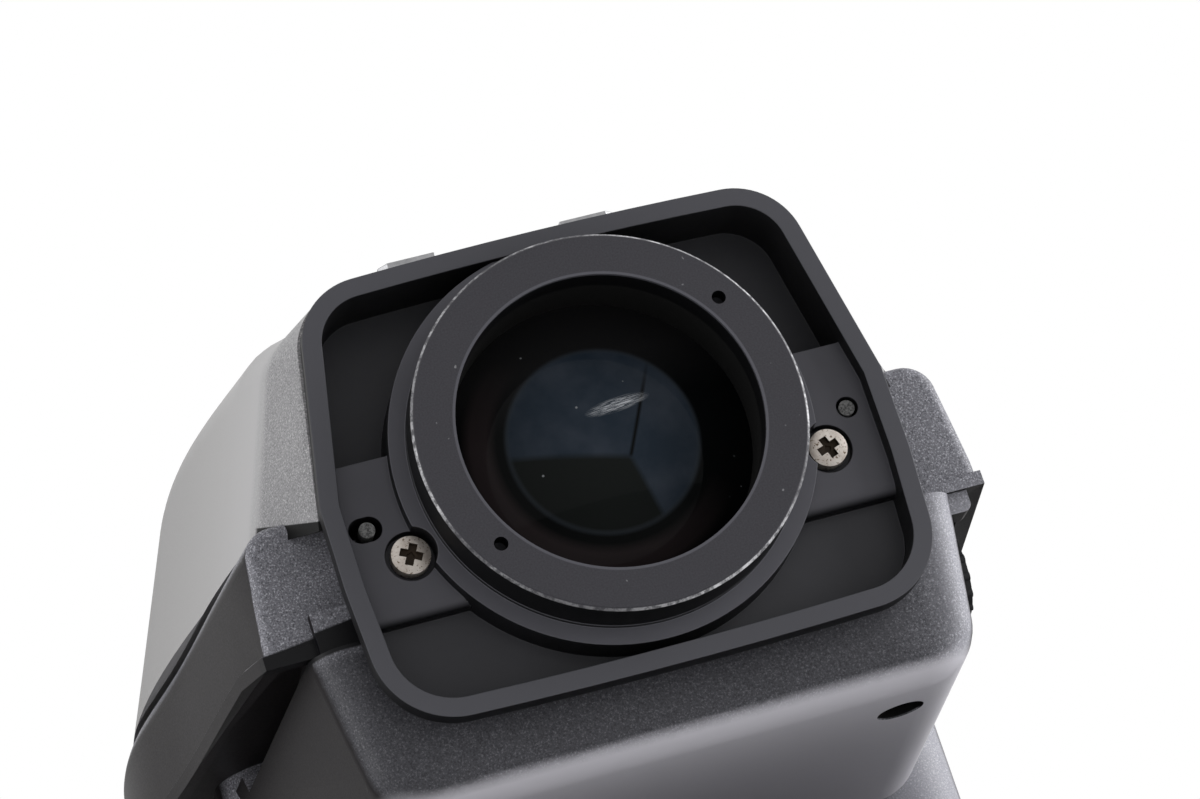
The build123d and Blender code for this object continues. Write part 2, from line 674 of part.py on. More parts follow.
# Mirror box: open to the lens in front, to the shutter behind and to the screen above
with BuildPart() as mirror_box:
    block(-box_half, box_half, box_front_y, box_rear_y, box_low_z, box_top_z)
    block(-box_inner_half, box_inner_half, box_front_y - overrun, box_rear_y - box_wall,
          box_inner_low, box_inner_top, Mode.SUBTRACT)
    block(-frame_half_x, frame_half_x, box_front_y, box_rear_y + overrun, lens_z - frame_half_z,
          lens_z + frame_half_z, Mode.SUBTRACT)
    block(-screen_half + wall, screen_half - wall, box_front_y + wall, screen_rear_y - wall, box_inner_low,
          box_top_z + overrun, Mode.SUBTRACT)
    block(-screen_half - fit, screen_half + fit, box_front_y + wall - fit, screen_rear_y + fit, screen_low_z,
          box_top_z + overrun, Mode.SUBTRACT)
    round_bar(beside(-box_half - overrun), ((mirror_hinge_y, mirror_hinge_z),), mirror_pin_radius,
              2 * (box_half + overrun), Mode.SUBTRACT)
mirror_box.part.label = "mirror_box"
export_step(mirror_box.part, "parts/mirror_box.step")

with BuildPart() as focusing_screen:
    block(-screen_half, screen_half, box_front_y + wall, screen_rear_y, screen_low_z,
          screen_low_z + screen_thick)
focusing_screen.part.label = "focusing_screen"
export_step(focusing_screen.part, "parts/focusing_screen.step")

# Reflex mirror on its frame, at rest at 45 degrees below its hinge pin
mirror_normal = (0, -sin(radians(mirror_angle)), cos(radians(mirror_angle)))
mirror_plane = Plane((0, mirror_hinge_y, mirror_hinge_z), x_dir=(1, 0, 0), z_dir=mirror_normal)
with BuildPart() as mirror_frame:
    with BuildSketch(mirror_plane.offset(-mirror_thick)):
        with Locations((0, -mirror_length / 2)):
            Rectangle(2 * mirror_half, mirror_length)
    extrude(amount=mirror_thick)
    round_bar(beside(-mirror_half), ((mirror_hinge_y, mirror_hinge_z),), mirror_barrel, 2 * mirror_half)
    round_bar(beside(-mirror_half - overrun), ((mirror_hinge_y, mirror_hinge_z),),
              mirror_pin_radius + running, 2 * (mirror_half + overrun), Mode.SUBTRACT)
mirror_frame.part.label = "mirror_frame"
export_step(mirror_frame.part, "parts/mirror_frame.step")

with BuildPart() as mirror_glass:
    with BuildSketch(mirror_plane):
        with Locations((0, -(mirror_length + mirror_barrel) / 2)):
            Rectangle(2 * mirror_half, mirror_length - mirror_barrel - fit)
    extrude(amount=mirror_thick)
mirror_glass.part.label = "mirror_glass"
export_step(mirror_glass.part, "parts/mirror_glass.step")

with BuildPart() as mirror_pin:
    round_bar(beside(-box_half), ((mirror_hinge_y, mirror_hinge_z),), mirror_pin_radius, 2 * box_half)
mirror_pin.part.label = "mirror_pin"
export_step(mirror_pin.part, "parts/mirror_pin.step")

# Focal plane shutter: a slotted frame with blades that drop one behind the other
shutter_front_y = 8.0
shutter_rear_y = 11.8
shutter_side = 5.1
shutter_half = frame_half_x + shutter_side
shutter_low_z = 7.6
shutter_top_z = 74.4
blade_count = 4
blade_thick = 0.3
blade_pitch = 0.6
blade_lap = 3.0
blade_half = frame_half_x + blade_lap
blade_step_share = 0.52093
blade_step = blade_step_share * frame_half_z
blade_overlap = 1.2
blade_height = blade_step + blade_overlap
blade_room = 0.6
blade_first_y = shutter_rear_y - blade_room - blade_thick
blade_stack_rise = 1.4
blade_stack_z = shutter_low_z + blade_stack_rise
with BuildPart() as shutter_frame:
    block(-shutter_half, shutter_half, shutter_front_y, shutter_rear_y, shutter_low_z, shutter_top_z)
    block(-blade_half - free_gap, blade_half + free_gap, shutter_front_y + blade_room,
          shutter_rear_y - blade_room + free_gap, blade_stack_z - free_gap, shutter_top_z - wall,
          Mode.SUBTRACT)
    block(-frame_half_x, frame_half_x, shutter_front_y - overrun, shutter_rear_y + overrun,
          lens_z - frame_half_z, lens_z + frame_half_z, Mode.SUBTRACT)
shutter_frame.part.label = "shutter_frame"
export_step(shutter_frame.part, "parts/shutter_frame.step")

for number in range(1, blade_count + 1):
    blade_y = blade_first_y - (number - 1) * blade_pitch
    blade_z = lens_z - frame_half_z - free_gap + (blade_count - number) * blade_step
    with BuildPart() as shutter_blade:
        block(-blade_half, blade_half, blade_y, blade_y + blade_thick, blade_z, blade_z + blade_height)
    shutter_blade.part.label = f"shutter_blade_{number}"
    export_step(shutter_blade.part, f"parts/shutter_blade_{number}.step")

# Front buttons, the lock pin between them and the lens, and the tripod bush
release_margin = 8.0
release_x = body_half - release_margin
release_drop = 16.0
release_radius = 4.5
preview_radius = 3.2
mount_screw_inset = 2.6
mount_screw_place_radius = mount_radius - mount_screw_inset
lock_share = mount_screw_place_radius / hypot(release_x, release_drop)
lock_x = release_x * lock_share
lock_z = lens_z - release_drop * lock_share
lock_radius = 1.2
bush_radius = 7.0

# Body shell: the mirror box, the shutter and the base fit inside it
body_corner = 5.0
body_edge = 2.5
with BuildPart() as body_shell:
    with BuildSketch(level(body_bottom)) as plan:
        with Locations((0, (front_y + rear_y) / 2)):
            Rectangle(2 * body_half, rear_y - front_y)
        fillet(plan.vertices().group_by(Axis.Y)[0], body_corner)
    extrude(amount=deck_z - body_bottom)
    top_rim = body_shell.faces().sort_by(Axis.Z)[-1].edges().group_by(Axis.Y)
    fillet(top_rim[0], body_edge)
    block(-body_half + wall, body_half - wall, front_y + wall, rear_y - wall, body_bottom + wall,
          deck_z - wall, Mode.SUBTRACT)
    round_bar(across(front_y + wall + overrun), ((0, lens_z),), throat_radius + fit, wall + 2 * overrun,
              Mode.SUBTRACT)
    block(-box_half - fit, box_half + fit, box_front_y, box_rear_y + fit, deck_z - wall - overrun,
          box_top_z + fit, Mode.SUBTRACT)
    block(-screen_half, screen_half, box_front_y + wall, screen_rear_y, deck_z - 2 * wall, deck_z + overrun,
          Mode.SUBTRACT)
    block(-shutter_half - fit, shutter_half + fit, shutter_front_y, rear_y + overrun, shutter_low_z - fit,
          shutter_top_z + fit, Mode.SUBTRACT)
    round_bar(level(0), ((0, 0),), bush_radius + fit, body_bottom + wall + overrun, Mode.SUBTRACT)
    round_bar(across(front_y + wall + overrun), ((release_x, lens_z - release_drop),),
              release_radius + running, wall + 2 * overrun, Mode.SUBTRACT)
    round_bar(across(front_y + wall + overrun), ((-release_x, lens_z - release_drop),),
              preview_radius + running, wall + 2 * overrun, Mode.SUBTRACT)
    round_bar(across(front_y + wall + overrun), ((lock_x, lock_z),), lock_radius + running,
              wall + 2 * overrun, Mode.SUBTRACT)
body_shell.part.label = "body_shell"
export_step(body_shell.part, "parts/body_shell.step")

# Base plate, its screws and the threaded tripod bush
plate_half = 45.0
plate_front_y = -43.0
plate_rear_y = 9.0
plate_corner = 5.0
bush_flange = 9.2
bush_height = 12.5
thread_radius = 2.55
thread_depth = 10.0
base_screw_x = 38.0
base_screw_head = 2.0
base_screw_height = 1.2
base_screw_sink = 0.2
with BuildPart() as base_plate:
    with BuildSketch(level(0)) as plan:
        with Locations((0, (plate_front_y + plate_rear_y) / 2)):
            Rectangle(2 * plate_half, plate_rear_y - plate_front_y)
        fillet(plan.vertices(), plate_corner)
        Circle(bush_radius + fit, mode=Mode.SUBTRACT)
    extrude(amount=body_bottom)
    plate_screw_places = [(x, y) for x in (-base_screw_x, base_screw_x)
                          for y in (plate_front_y + 2 * plate_corner, plate_rear_y - 2 * plate_corner)]
    round_bar(level(0), plate_screw_places, base_screw_head + fit, base_screw_sink + base_screw_height,
              Mode.SUBTRACT)
base_plate.part.label = "base_plate"
export_step(base_plate.part, "parts/base_plate.step")

with BuildPart() as base_screws:
    round_bar(level(base_screw_sink), plate_screw_places, base_screw_head, base_screw_height)
base_screws.part.label = "base_screws"
export_step(base_screws.part, "parts/base_screws.step")

with BuildPart() as tripod_bush:
    round_bar(level(0), ((0, 0),), bush_radius, bush_height)
    round_bar(level(body_bottom + wall), ((0, 0),), bush_flange, wall)
    round_bar(level(0), ((0, 0),), thread_radius, thread_depth, Mode.SUBTRACT)
tripod_bush.part.label = "tripod_bush"
export_step(tripod_bush.part, "parts/tripod_bush.step")

# Lens mount: a steel bayonet ring with three lugs
mount_thick = 4.0
lug_reach_in = 2.1
lug_radius = throat_radius - lug_reach_in
lug_thick = 1.4
lug_sink = 2.2
lug_count = 3
lug_gap = 30.0
lug_gap_width = 20.0
lug_start_angle = 30.0
mount_screw_angle = 10.0
mount_screw_head = 1.6
mount_screw_count = 6
mount_screw_depth = 1.3
release_proud = 2.8
release_back_y = front_y + wall
release_z = lens_z - release_drop
lock_proud = 1.0
lock_length = 5.4
mount_face_y = front_y - mount_thick
with BuildPart() as lens_mount:
    with BuildSketch(across(front_y)):
        with Locations((0, lens_z)):
            Circle(mount_radius)
            Circle(throat_radius, mode=Mode.SUBTRACT)
    extrude(amount=mount_thick)
    with BuildSketch(across(mount_face_y + lug_sink + lug_thick)):
        with Locations((0, lens_z)):
            Circle(throat_radius + fit)
            Circle(lug_radius, mode=Mode.SUBTRACT)
            with PolarLocations(throat_radius, lug_count, start_angle=lug_start_angle):
                Rectangle(lug_gap_width, lug_gap, mode=Mode.SUBTRACT)
    extrude(amount=lug_thick)
    with BuildSketch(across(mount_face_y)):
        with Locations((0, lens_z)):
            with PolarLocations(mount_screw_place_radius, mount_screw_count, start_angle=mount_screw_angle):
                Circle(mount_screw_head + fit)
    extrude(amount=-mount_screw_depth, mode=Mode.SUBTRACT)
    round_bar(across(front_y + overrun), ((lock_x, lock_z),), lock_radius + running,
              mount_thick + 2 * overrun, Mode.SUBTRACT)
lens_mount.part.label = "lens_mount"
export_step(lens_mount.part, "parts/lens_mount.step")

with BuildPart() as mount_screws:
    with BuildSketch(across(mount_face_y + mount_screw_depth)):
        with Locations((0, lens_z)):
            with PolarLocations(mount_screw_place_radius, mount_screw_count, start_angle=mount_screw_angle):
                Circle(mount_screw_head)
    extrude(amount=mount_screw_depth - fit)
mount_screws.part.label = "mount_screws"
export_step(mount_screws.part, "parts/mount_screws.step")

with BuildPart() as lens_lock_pin:
    round_bar(across(mount_face_y - lock_proud + lock_length), ((lock_x, lock_z),), lock_radius, lock_length)
lens_lock_pin.part.label = "lens_lock_pin"
export_step(lens_lock_pin.part, "parts/lens_lock_pin.step")

with BuildPart() as lens_release_button:
    round_bar(across(release_back_y), ((release_x, release_z),), release_radius,
              release_back_y - front_y + release_proud)
    chamfer(lens_release_button.edges().group_by(Axis.Y)[0], ring_chamfer)
lens_release_button.part.label = "lens_release_button"
export_step(lens_release_button.part, "parts/lens_release_button.step")

preview_proud = 1.8
with BuildPart() as preview_button:
    round_bar(across(release_back_y), ((-release_x, release_z),), preview_radius,
              release_back_y - front_y + preview_proud)
    chamfer(preview_button.edges().group_by(Axis.Y)[0], ring_chamfer)
preview_button.part.label = "preview_button"
export_step(preview_button.part, "parts/preview_button.step")

# Row of sprung contacts under the lens throat
contact_half = 9.0
contact_rise = 2.1           # over the lowest point of the throat
contact_height_z = 4.2
contact_low_z = lens_z - throat_radius + contact_rise
contact_top_z = contact_low_z + contact_height_z
contact_front_y = -47.3
contact_count = 8
contact_pitch = 2.0
contact_pin = 0.5
with BuildPart() as lens_contacts:
    block(-contact_half, contact_half, contact_front_y, box_front_y, contact_low_z, contact_top_z)
    round_bar(across(contact_front_y),
              [((step - (contact_count - 1) / 2) * contact_pitch, (contact_low_z + contact_top_z) / 2)
               for step in range(contact_count)], contact_pin, contact_pin)
lens_contacts.part.label = "lens_contacts"
export_step(lens_contacts.part, "parts/lens_contacts.step")

# Grip: a rounded column with the battery inside and the controls on its top
grip_width = 44.0
grip_depth = 72.0
grip_top_z = 86.0
grip_edge = 3.5
battery_width_share = 0.3045 # half-width and place of the battery, as shares of the grip's width
battery_place_share = 0.5409
battery_half = battery_width_share * grip_width
battery_x = -body_half - battery_place_share * grip_width
battery_front_y = -47.0
battery_rear_y = 0.0
battery_top_z = 66.0
battery_low_z = 4.6
release_y = -43.0
controls_place_share = 0.5
release_top_x = -body_half - controls_place_share * grip_width
boss_radius = 9.2
boss_height = 1.3
neck_radius = 6.0
neck_height = 3.8
neck_bore = 5.2
button_depth = 1.5
door_thick = 1.8
door_margin = 1.2
door_barrel = 1.0
door_pin = 0.6
door_pin_length = 2.0
dial_y = -53.6
dial_z = 75.5
dial_radius = 8.0
dial_half = 4.0
dial_axle = 1.2
dial_axle_length = 2.0
dial_notches = 18
dial_notch_radius = 0.5
thumb_y = 4.6
thumb_offset = 2.0
thumb_x = release_top_x - thumb_offset
thumb_low_z = 72.0
thumb_height = 7.0
thumb_radius = 9.0
display_offset = 0.5
display_x = release_top_x - display_offset
display_y = -22.0
display_width = 27.0
display_depth = 19.0
display_thick = 1.0
mode_offset = 9.0
mode_x = release_top_x + mode_offset
mode_y = -4.0
mode_radius = 2.3
mode_proud = 1.1
mode_depth = 2.2
rubber_low_z = 12.0
rubber_top_z = 65.0
rubber_thick = 1.6
rubber_proud = 0.5
door_z = body_bottom + door_barrel
door_y = battery_rear_y + 2 * door_margin
door_x0 = battery_x - battery_half - door_margin
door_x1 = battery_x + battery_half + door_margin
door_front_y = battery_front_y - door_margin

grip_rear_corner = 14.0
grip_round_share = 0.4545    # share of the width that each rounded corner of the front takes
grip_nose = grip_round_share * grip_width
grip_swell = 24.0            # radius of the front where the fingers pass to the body
grip_swell_run = grip_round_share * grip_width
rubber_side_share = 0.2      # the rubber ends at these shares of the grip's width and depth
rubber_rear_share = 0.25


def grip_plan(grow=0.0):
    """The grip's plan: rounded rear corner, full nose, and a swell that runs in beside the body."""
    inner = -body_half
    outer = inner - grip_width
    front = rear_y - grip_depth
    swell_turn = degrees(asin(grip_swell_run / grip_swell))
    swell_end = front + grip_swell - sqrt(grip_swell ** 2 - grip_swell_run ** 2)
    with BuildSketch(mode=Mode.PRIVATE) as plan:
        with BuildLine():
            Line((inner, rear_y), (outer + grip_rear_corner, rear_y))
            CenterArc((outer + grip_rear_corner, rear_y - grip_rear_corner), grip_rear_corner, 90, 90)
            Line((outer, rear_y - grip_rear_corner), (outer, front + grip_nose))
            CenterArc((outer + grip_nose, front + grip_nose), grip_nose, 180, 90)
            Line((outer + grip_nose, front), (inner - grip_swell_run, front))
            CenterArc((inner - grip_swell_run, front + grip_swell), grip_swell, 270, swell_turn)
            Line((inner, swell_end), (inner, rear_y))
        make_face()
        if grow:
            offset(amount=grow, mode=Mode.REPLACE)
    return plan.sketch_local


with BuildPart() as grip_shell:
    with BuildSketch(level(body_bottom)):
        add(grip_plan())
    extrude(amount=grip_top_z - body_bottom)
    top_edges = grip_shell.edges().group_by(Axis.Z)[-1].sort_by(Axis.X)
    fillet(top_edges[:-1], grip_edge)
    round_bar(level(grip_top_z - free_gap), ((release_top_x, release_y),), boss_radius,
              boss_height + free_gap)
    round_bar(level(grip_top_z), ((release_top_x, release_y),), neck_radius, neck_height)
    round_bar(level(grip_top_z - button_depth), ((release_top_x, release_y),), neck_bore,
              neck_height + button_depth + overrun, Mode.SUBTRACT)
    # battery bay and the recess of its door
    block(battery_x - battery_half - fit, battery_x + battery_half + fit, battery_front_y - fit,
          battery_rear_y + fit, body_bottom - overrun, battery_top_z + fit, Mode.SUBTRACT)
    block(door_x0 - free_gap, door_x1 + free_gap, door_front_y - free_gap, door_y + door_barrel + free_gap,
          body_bottom - overrun, door_z + door_barrel + free_gap, Mode.SUBTRACT)
    round_bar(beside(door_x0 - free_gap - door_pin_length), ((door_y, door_z),), door_pin + running,
              door_x1 - door_x0 + 2 * (free_gap + door_pin_length), Mode.SUBTRACT)
    # front dial and thumb dial
    round_bar(beside(release_top_x - dial_half - free_gap), ((dial_y, dial_z),), dial_radius + free_gap,
              2 * (dial_half + free_gap), Mode.SUBTRACT)
    round_bar(beside(release_top_x - dial_half - dial_axle_length - fit), ((dial_y, dial_z),),
              dial_axle + running, 2 * (dial_half + dial_axle_length + fit), Mode.SUBTRACT)
    round_bar(level(thumb_low_z - free_gap), ((thumb_x, thumb_y),), thumb_radius + free_gap,
              thumb_height + 2 * free_gap, Mode.SUBTRACT)
    round_bar(level(thumb_low_z - dial_axle_length - fit), ((thumb_x, thumb_y),), dial_axle + running,
              thumb_height + 2 * (dial_axle_length + fit), Mode.SUBTRACT)
    # display window and mode button
    block(display_x - display_width / 2 - fit, display_x + display_width / 2 + fit,
          display_y - display_depth / 2 - fit, display_y + display_depth / 2 + fit,
          grip_top_z - display_thick, grip_top_z + overrun, Mode.SUBTRACT)
    round_bar(level(grip_top_z - mode_depth - 2 * free_gap), ((mode_x, mode_y),), mode_radius + running,
              mode_depth + overrun, Mode.SUBTRACT)
    # bed of the rubber
    with BuildSketch(level(rubber_low_z - fit)):
        add(grip_plan(rubber_proud))
        add(grip_plan(rubber_proud - rubber_thick - fit), mode=Mode.SUBTRACT)
        with Locations((-body_half - rubber_side_share * grip_width,
                        rear_y - rubber_rear_share * grip_depth)):
            Rectangle(2 * grip_width, 2 * grip_depth, align=(Align.MAX, Align.MAX), mode=Mode.INTERSECT)
    extrude(amount=rubber_top_z - rubber_low_z + 2 * fit, mode=Mode.SUBTRACT)
grip_shell.part.label = "grip_shell"
export_step(grip_shell.part, "parts/grip_shell.step")

with BuildPart() as grip_rubber:
    with BuildSketch(level(rubber_low_z)):
        add(grip_plan(rubber_proud))
        add(grip_plan(rubber_proud - rubber_thick), mode=Mode.SUBTRACT)
        with Locations((-body_half - rubber_side_share * grip_width - fit,
                        rear_y - rubber_rear_share * grip_depth - fit)):
            Rectangle(2 * grip_width, 2 * grip_depth, align=(Align.MAX, Align.MAX), mode=Mode.INTERSECT)
    extrude(amount=rubber_top_z - rubber_low_z)
grip_rubber.part.label = "grip_rubber"
export_step(grip_rubber.part, "parts/grip_rubber.step")

with BuildPart() as battery:
    block(battery_x - battery_half, battery_x + battery_half, battery_front_y, battery_rear_y,
          battery_low_z, battery_top_z)
    fillet(battery.edges().filter_by(Axis.Z), door_margin)
battery.part.label = "battery"
export_step(battery.part, "parts/battery.step")

with BuildPart() as battery_door:
    block(door_x0, door_x1, door_front_y, door_y, body_bottom, body_bottom + door_thick)
    round_bar(beside(door_x0), ((door_y, door_z),), door_barrel, door_x1 - door_x0)
    round_bar(beside(door_x0 - door_pin_length), ((door_y, door_z),), door_pin,
              door_x1 - door_x0 + 2 * door_pin_length)
battery_door.part.label = "battery_door"
export_step(battery_door.part, "parts/battery_door.step")

# Shutter button and the power collar round it
collar_outer = 8.8
button_chamfer = 0.6
collar_height = 1.9
lever_width = 3.0
lever_reach = 2.2
button_top = 1.5
button_travel = 1.2
collar_z = grip_top_z + boss_height + free_gap
with BuildPart() as power_collar:
    with BuildSketch(level(collar_z)):
        with Locations((release_top_x, release_y)):
            Circle(collar_outer)
        with Locations((release_top_x + collar_outer, release_y)):
            Rectangle(2 * lever_reach, lever_width)
        with Locations((release_top_x, release_y)):
            Circle(neck_radius + running, mode=Mode.SUBTRACT)
    extrude(amount=collar_height)
power_collar.part.label = "power_collar"
export_step(power_collar.part, "parts/power_collar.step")

with BuildPart() as shutter_button:
    round_bar(level(grip_top_z - button_depth + button_travel + free_gap), ((release_top_x, release_y),),
              neck_bore - 2 * running, neck_height + button_depth - button_travel - free_gap + button_top)
    chamfer(shutter_button.edges().group_by(Axis.Z)[-1], button_chamfer)
shutter_button.part.label = "shutter_button"
export_step(shutter_button.part, "parts/shutter_button.step")

# Notched dials: one under the forefinger, one under the thumb
with BuildPart() as front_dial:
    with BuildSketch(beside(release_top_x - dial_half)):
        with Locations((dial_y, dial_z)):
            Circle(dial_radius)
            with PolarLocations(dial_radius, dial_notches):
                Circle(dial_notch_radius, mode=Mode.SUBTRACT)
    extrude(amount=2 * dial_half)
    round_bar(beside(release_top_x - dial_half - dial_axle_length), ((dial_y, dial_z),), dial_axle,
              2 * (dial_half + dial_axle_length))
front_dial.part.label = "front_dial"
export_step(front_dial.part, "parts/front_dial.step")

with BuildPart() as rear_dial:
    with BuildSketch(level(thumb_low_z)):
        with Locations((thumb_x, thumb_y)):
            Circle(thumb_radius)
            with PolarLocations(thumb_radius, dial_notches):
                Circle(dial_notch_radius, mode=Mode.SUBTRACT)
    extrude(amount=thumb_height)
    round_bar(level(thumb_low_z - dial_axle_length), ((thumb_x, thumb_y),), dial_axle,
              thumb_height + 2 * dial_axle_length)
rear_dial.part.label = "rear_dial"
export_step(rear_dial.part, "parts/rear_dial.step")

with BuildPart() as top_display:
    block(display_x - display_width / 2, display_x + display_width / 2, display_y - display_depth / 2,
          display_y + display_depth / 2, grip_top_z - display_thick, grip_top_z)
top_display.part.label = "top_display"
export_step(top_display.part, "parts/top_display.step")

with BuildPart() as mode_button:
    round_bar(level(grip_top_z - mode_depth + 2 * free_gap), ((mode_x, mode_y),), mode_radius,
              mode_depth - 2 * free_gap + mode_proud)
mode_button.part.label = "mode_button"
export_step(mode_button.part, "parts/mode_button.step")

# Strap lugs on both sides and the cap of the flash socket
lug_y = -18.0
lug_z = 74.0
lug_post = 3.2
lug_post_length = 2.4
lug_plate_half = 4.4
lug_plate_thick = 1.8
lug_reach = 6.4
lug_eye = 1.8
lug_eye_shift = 0.6
grip_side_x = -body_half - grip_width
with BuildPart() as strap_lugs:
    for side, side_x in ((1, body_half), (-1, grip_side_x)):
        start_x = min(side_x, side_x + side * lug_post_length)
        round_bar(beside(start_x), ((lug_y, lug_z),), lug_post, lug_post_length)
        with BuildSketch(across(lug_y + lug_plate_thick / 2)) as eye:
            with Locations((side_x + side * (lug_post_length + lug_reach / 2), lug_z)):
                Rectangle(lug_reach, 2 * lug_plate_half)
            with Locations((side_x + side * (lug_post_length + lug_reach / 2 + lug_eye_shift), lug_z)):
                Circle(lug_eye, mode=Mode.SUBTRACT)
        extrude(amount=lug_plate_thick)
strap_lugs.part.label = "strap_lugs"
export_step(strap_lugs.part, "parts/strap_lugs.step")

cap_y = -30.0
cap_z = 52.0
cap_radius = 4.6
cap_height = 2.6
with BuildPart() as sync_cap:
    round_bar(beside(body_half), ((cap_y, cap_z),), cap_radius, cap_height)
    chamfer(sync_cap.edges().group_by(Axis.X)[-1], button_chamfer)
sync_cap.part.label = "sync_cap"
export_step(sync_cap.part, "parts/sync_cap.step")

# Digital back: housing, sensor stack, card bay, rear panel with display and keys
back_half = 46.0
back_top_z = 80.0
back_split_y = 58.0
back_rear_y = 64.0
back_corner = 6.0
back_edge = 2.4
back_wall = 3.0
window_margin = 1.5
window_half_x = frame_half_x + window_margin
window_half_z = frame_half_z + window_margin
glass_thick = 1.5
glass_lap = 2.0
sensor_inset = 1.5
sensor_half_x = frame_half_x - sensor_inset
sensor_half_z = frame_half_z - sensor_inset + fit
sensor_thick = 2.0
board_thick = 1.6
card_y0 = 32.0
card_y1 = 35.4
card_low_z = 24.0
card_top_z = 60.0
card_inner_x = 16.0
bay_wall = 1.5
card_door_y0 = 23.0
card_door_y1 = 50.0
card_door_z0 = 20.0
card_door_z1 = 64.0
card_door_thick = 1.5
card_barrel = 0.8
card_pin = 0.5
latch_half = 9.0
latch_y0 = 18.0
latch_y1 = 27.0
latch_height = 2.0
latch_keel = 1.4
latch_travel = 5.0
screen_half_x = 33.0
screen_z0 = 25.0
screen_z1 = 72.0
display_glass_thick = 1.2
key_count = 4
key_pitch = 20.0
key_half_x = 5.6
key_half_z = 2.4
key_z = 12.5
key_depth = 3.2
key_proud = 0.8
key_room = 3.9
back_middle_z = (body_bottom + back_top_z) / 2
card_axis_x = back_half - card_barrel
card_axis_y = card_door_y0
with BuildPart() as back_housing:
    with BuildSketch(across(back_split_y)) as outline:
        with Locations((0, back_middle_z)):
            Rectangle(2 * back_half, back_top_z - body_bottom)
        fillet(outline.vertices(), back_corner)
    extrude(amount=back_split_y - rear_y)
    block(-back_half + back_wall, back_half - back_wall, rear_y + back_wall, back_split_y + overrun,
          body_bottom + back_wall, back_top_z - back_wall, Mode.SUBTRACT)
    block(-window_half_x, window_half_x, rear_y - overrun, rear_y + 2 * back_wall, lens_z - window_half_z,
          lens_z + window_half_z, Mode.SUBTRACT)
    # card bay and the recess of its door
    block(card_inner_x - bay_wall, back_half - back_wall + fit, card_y0 - fit - bay_wall,
          card_y1 + fit + bay_wall, card_low_z - bay_wall, card_top_z + bay_wall)
    block(card_inner_x, back_half + overrun, card_y0 - fit, card_y1 + fit, card_low_z - fit,
          card_top_z + fit, Mode.SUBTRACT)
    block(back_half - card_door_thick - free_gap, back_half + overrun, card_door_y0 - card_barrel - free_gap,
          card_door_y1 + free_gap, card_door_z0 - free_gap, card_door_z1 + free_gap, Mode.SUBTRACT)
    round_bar(level(card_door_z0 - free_gap - door_pin_length), ((card_axis_x, card_axis_y),),
              card_pin + running, card_door_z1 - card_door_z0 + 2 * (free_gap + door_pin_length),
              Mode.SUBTRACT)
    # slot of the latch
    block(-latch_half + latch_keel, latch_half - latch_keel + latch_travel,
          (latch_y0 + latch_y1) / 2 - latch_keel - free_gap,
          (latch_y0 + latch_y1) / 2 + latch_keel + free_gap,
          back_top_z - back_wall - overrun, back_top_z + overrun, Mode.SUBTRACT)
back_housing.part.label = "back_housing"
export_step(back_housing.part, "parts/back_housing.step")

with BuildPart() as sensor_glass:
    block(-window_half_x - glass_lap, window_half_x + glass_lap, rear_y + back_wall,
          rear_y + back_wall + glass_thick, lens_z - window_half_z - glass_lap,
          lens_z + window_half_z + glass_lap)
sensor_glass.part.label = "sensor_glass"
export_step(sensor_glass.part, "parts/sensor_glass.step")

sensor_y = rear_y + back_wall + glass_thick + free_gap
with BuildPart() as image_sensor:
    block(-sensor_half_x, sensor_half_x, sensor_y, sensor_y + sensor_thick, lens_z - sensor_half_z,
          lens_z + sensor_half_z)
image_sensor.part.label = "image_sensor"
export_step(image_sensor.part, "parts/image_sensor.step")

with BuildPart() as sensor_board:
    block(-back_half + back_wall + fit, back_half - back_wall - fit, sensor_y + sensor_thick,
          sensor_y + sensor_thick + board_thick, body_bottom + back_wall + fit, back_top_z - 2 * back_wall)
sensor_board.part.label = "sensor_board"
export_step(sensor_board.part, "parts/sensor_board.step")

with BuildPart() as memory_card:
    block(card_inner_x, back_half - back_wall, card_y0, card_y1, card_low_z, card_top_z)
memory_card.part.label = "memory_card"
export_step(memory_card.part, "parts/memory_card.step")

with BuildPart() as card_door:
    block(back_half - card_door_thick, back_half, card_door_y0, card_door_y1, card_door_z0, card_door_z1)
    round_bar(level(card_door_z0), ((card_axis_x, card_axis_y),), card_barrel, card_door_z1 - card_door_z0)
    round_bar(level(card_door_z0 - door_pin_length), ((card_axis_x, card_axis_y),), card_pin,
              card_door_z1 - card_door_z0 + 2 * door_pin_length)
card_door.part.label = "card_door"
export_step(card_door.part, "parts/card_door.step")

with BuildPart() as back_latch:
    block(-latch_half, latch_half, latch_y0, latch_y1, back_top_z + free_gap,
          back_top_z + free_gap + latch_height)
    block(-latch_half + 2 * latch_keel, latch_half - 2 * latch_keel,
          (latch_y0 + latch_y1) / 2 - latch_keel, (latch_y0 + latch_y1) / 2 + latch_keel,
          back_top_z - back_wall, back_top_z + free_gap)
back_latch.part.label = "back_latch"
export_step(back_latch.part, "parts/back_latch.step")

key_places = [((step - (key_count - 1) / 2) * key_pitch, key_z) for step in range(key_count)]
with BuildPart() as back_rear_panel:
    with BuildSketch(across(back_rear_y)) as outline:
        with Locations((0, back_middle_z)):
            Rectangle(2 * back_half, back_top_z - body_bottom)
        fillet(outline.vertices(), back_corner)
    extrude(amount=back_rear_y - back_split_y)
    fillet(back_rear_panel.edges().group_by(Axis.Y)[-1], back_edge)
    block(-screen_half_x - fit, screen_half_x + fit, back_rear_y - display_glass_thick,
          back_rear_y + overrun, screen_z0 - fit, screen_z1 + fit, Mode.SUBTRACT)
    with BuildSketch(across(back_rear_y)):
        with Locations(*key_places):
            Rectangle(2 * (key_half_x + free_gap), 2 * (key_half_z + free_gap))
    extrude(amount=key_room, mode=Mode.SUBTRACT)
back_rear_panel.part.label = "back_rear_panel"
export_step(back_rear_panel.part, "parts/back_rear_panel.step")

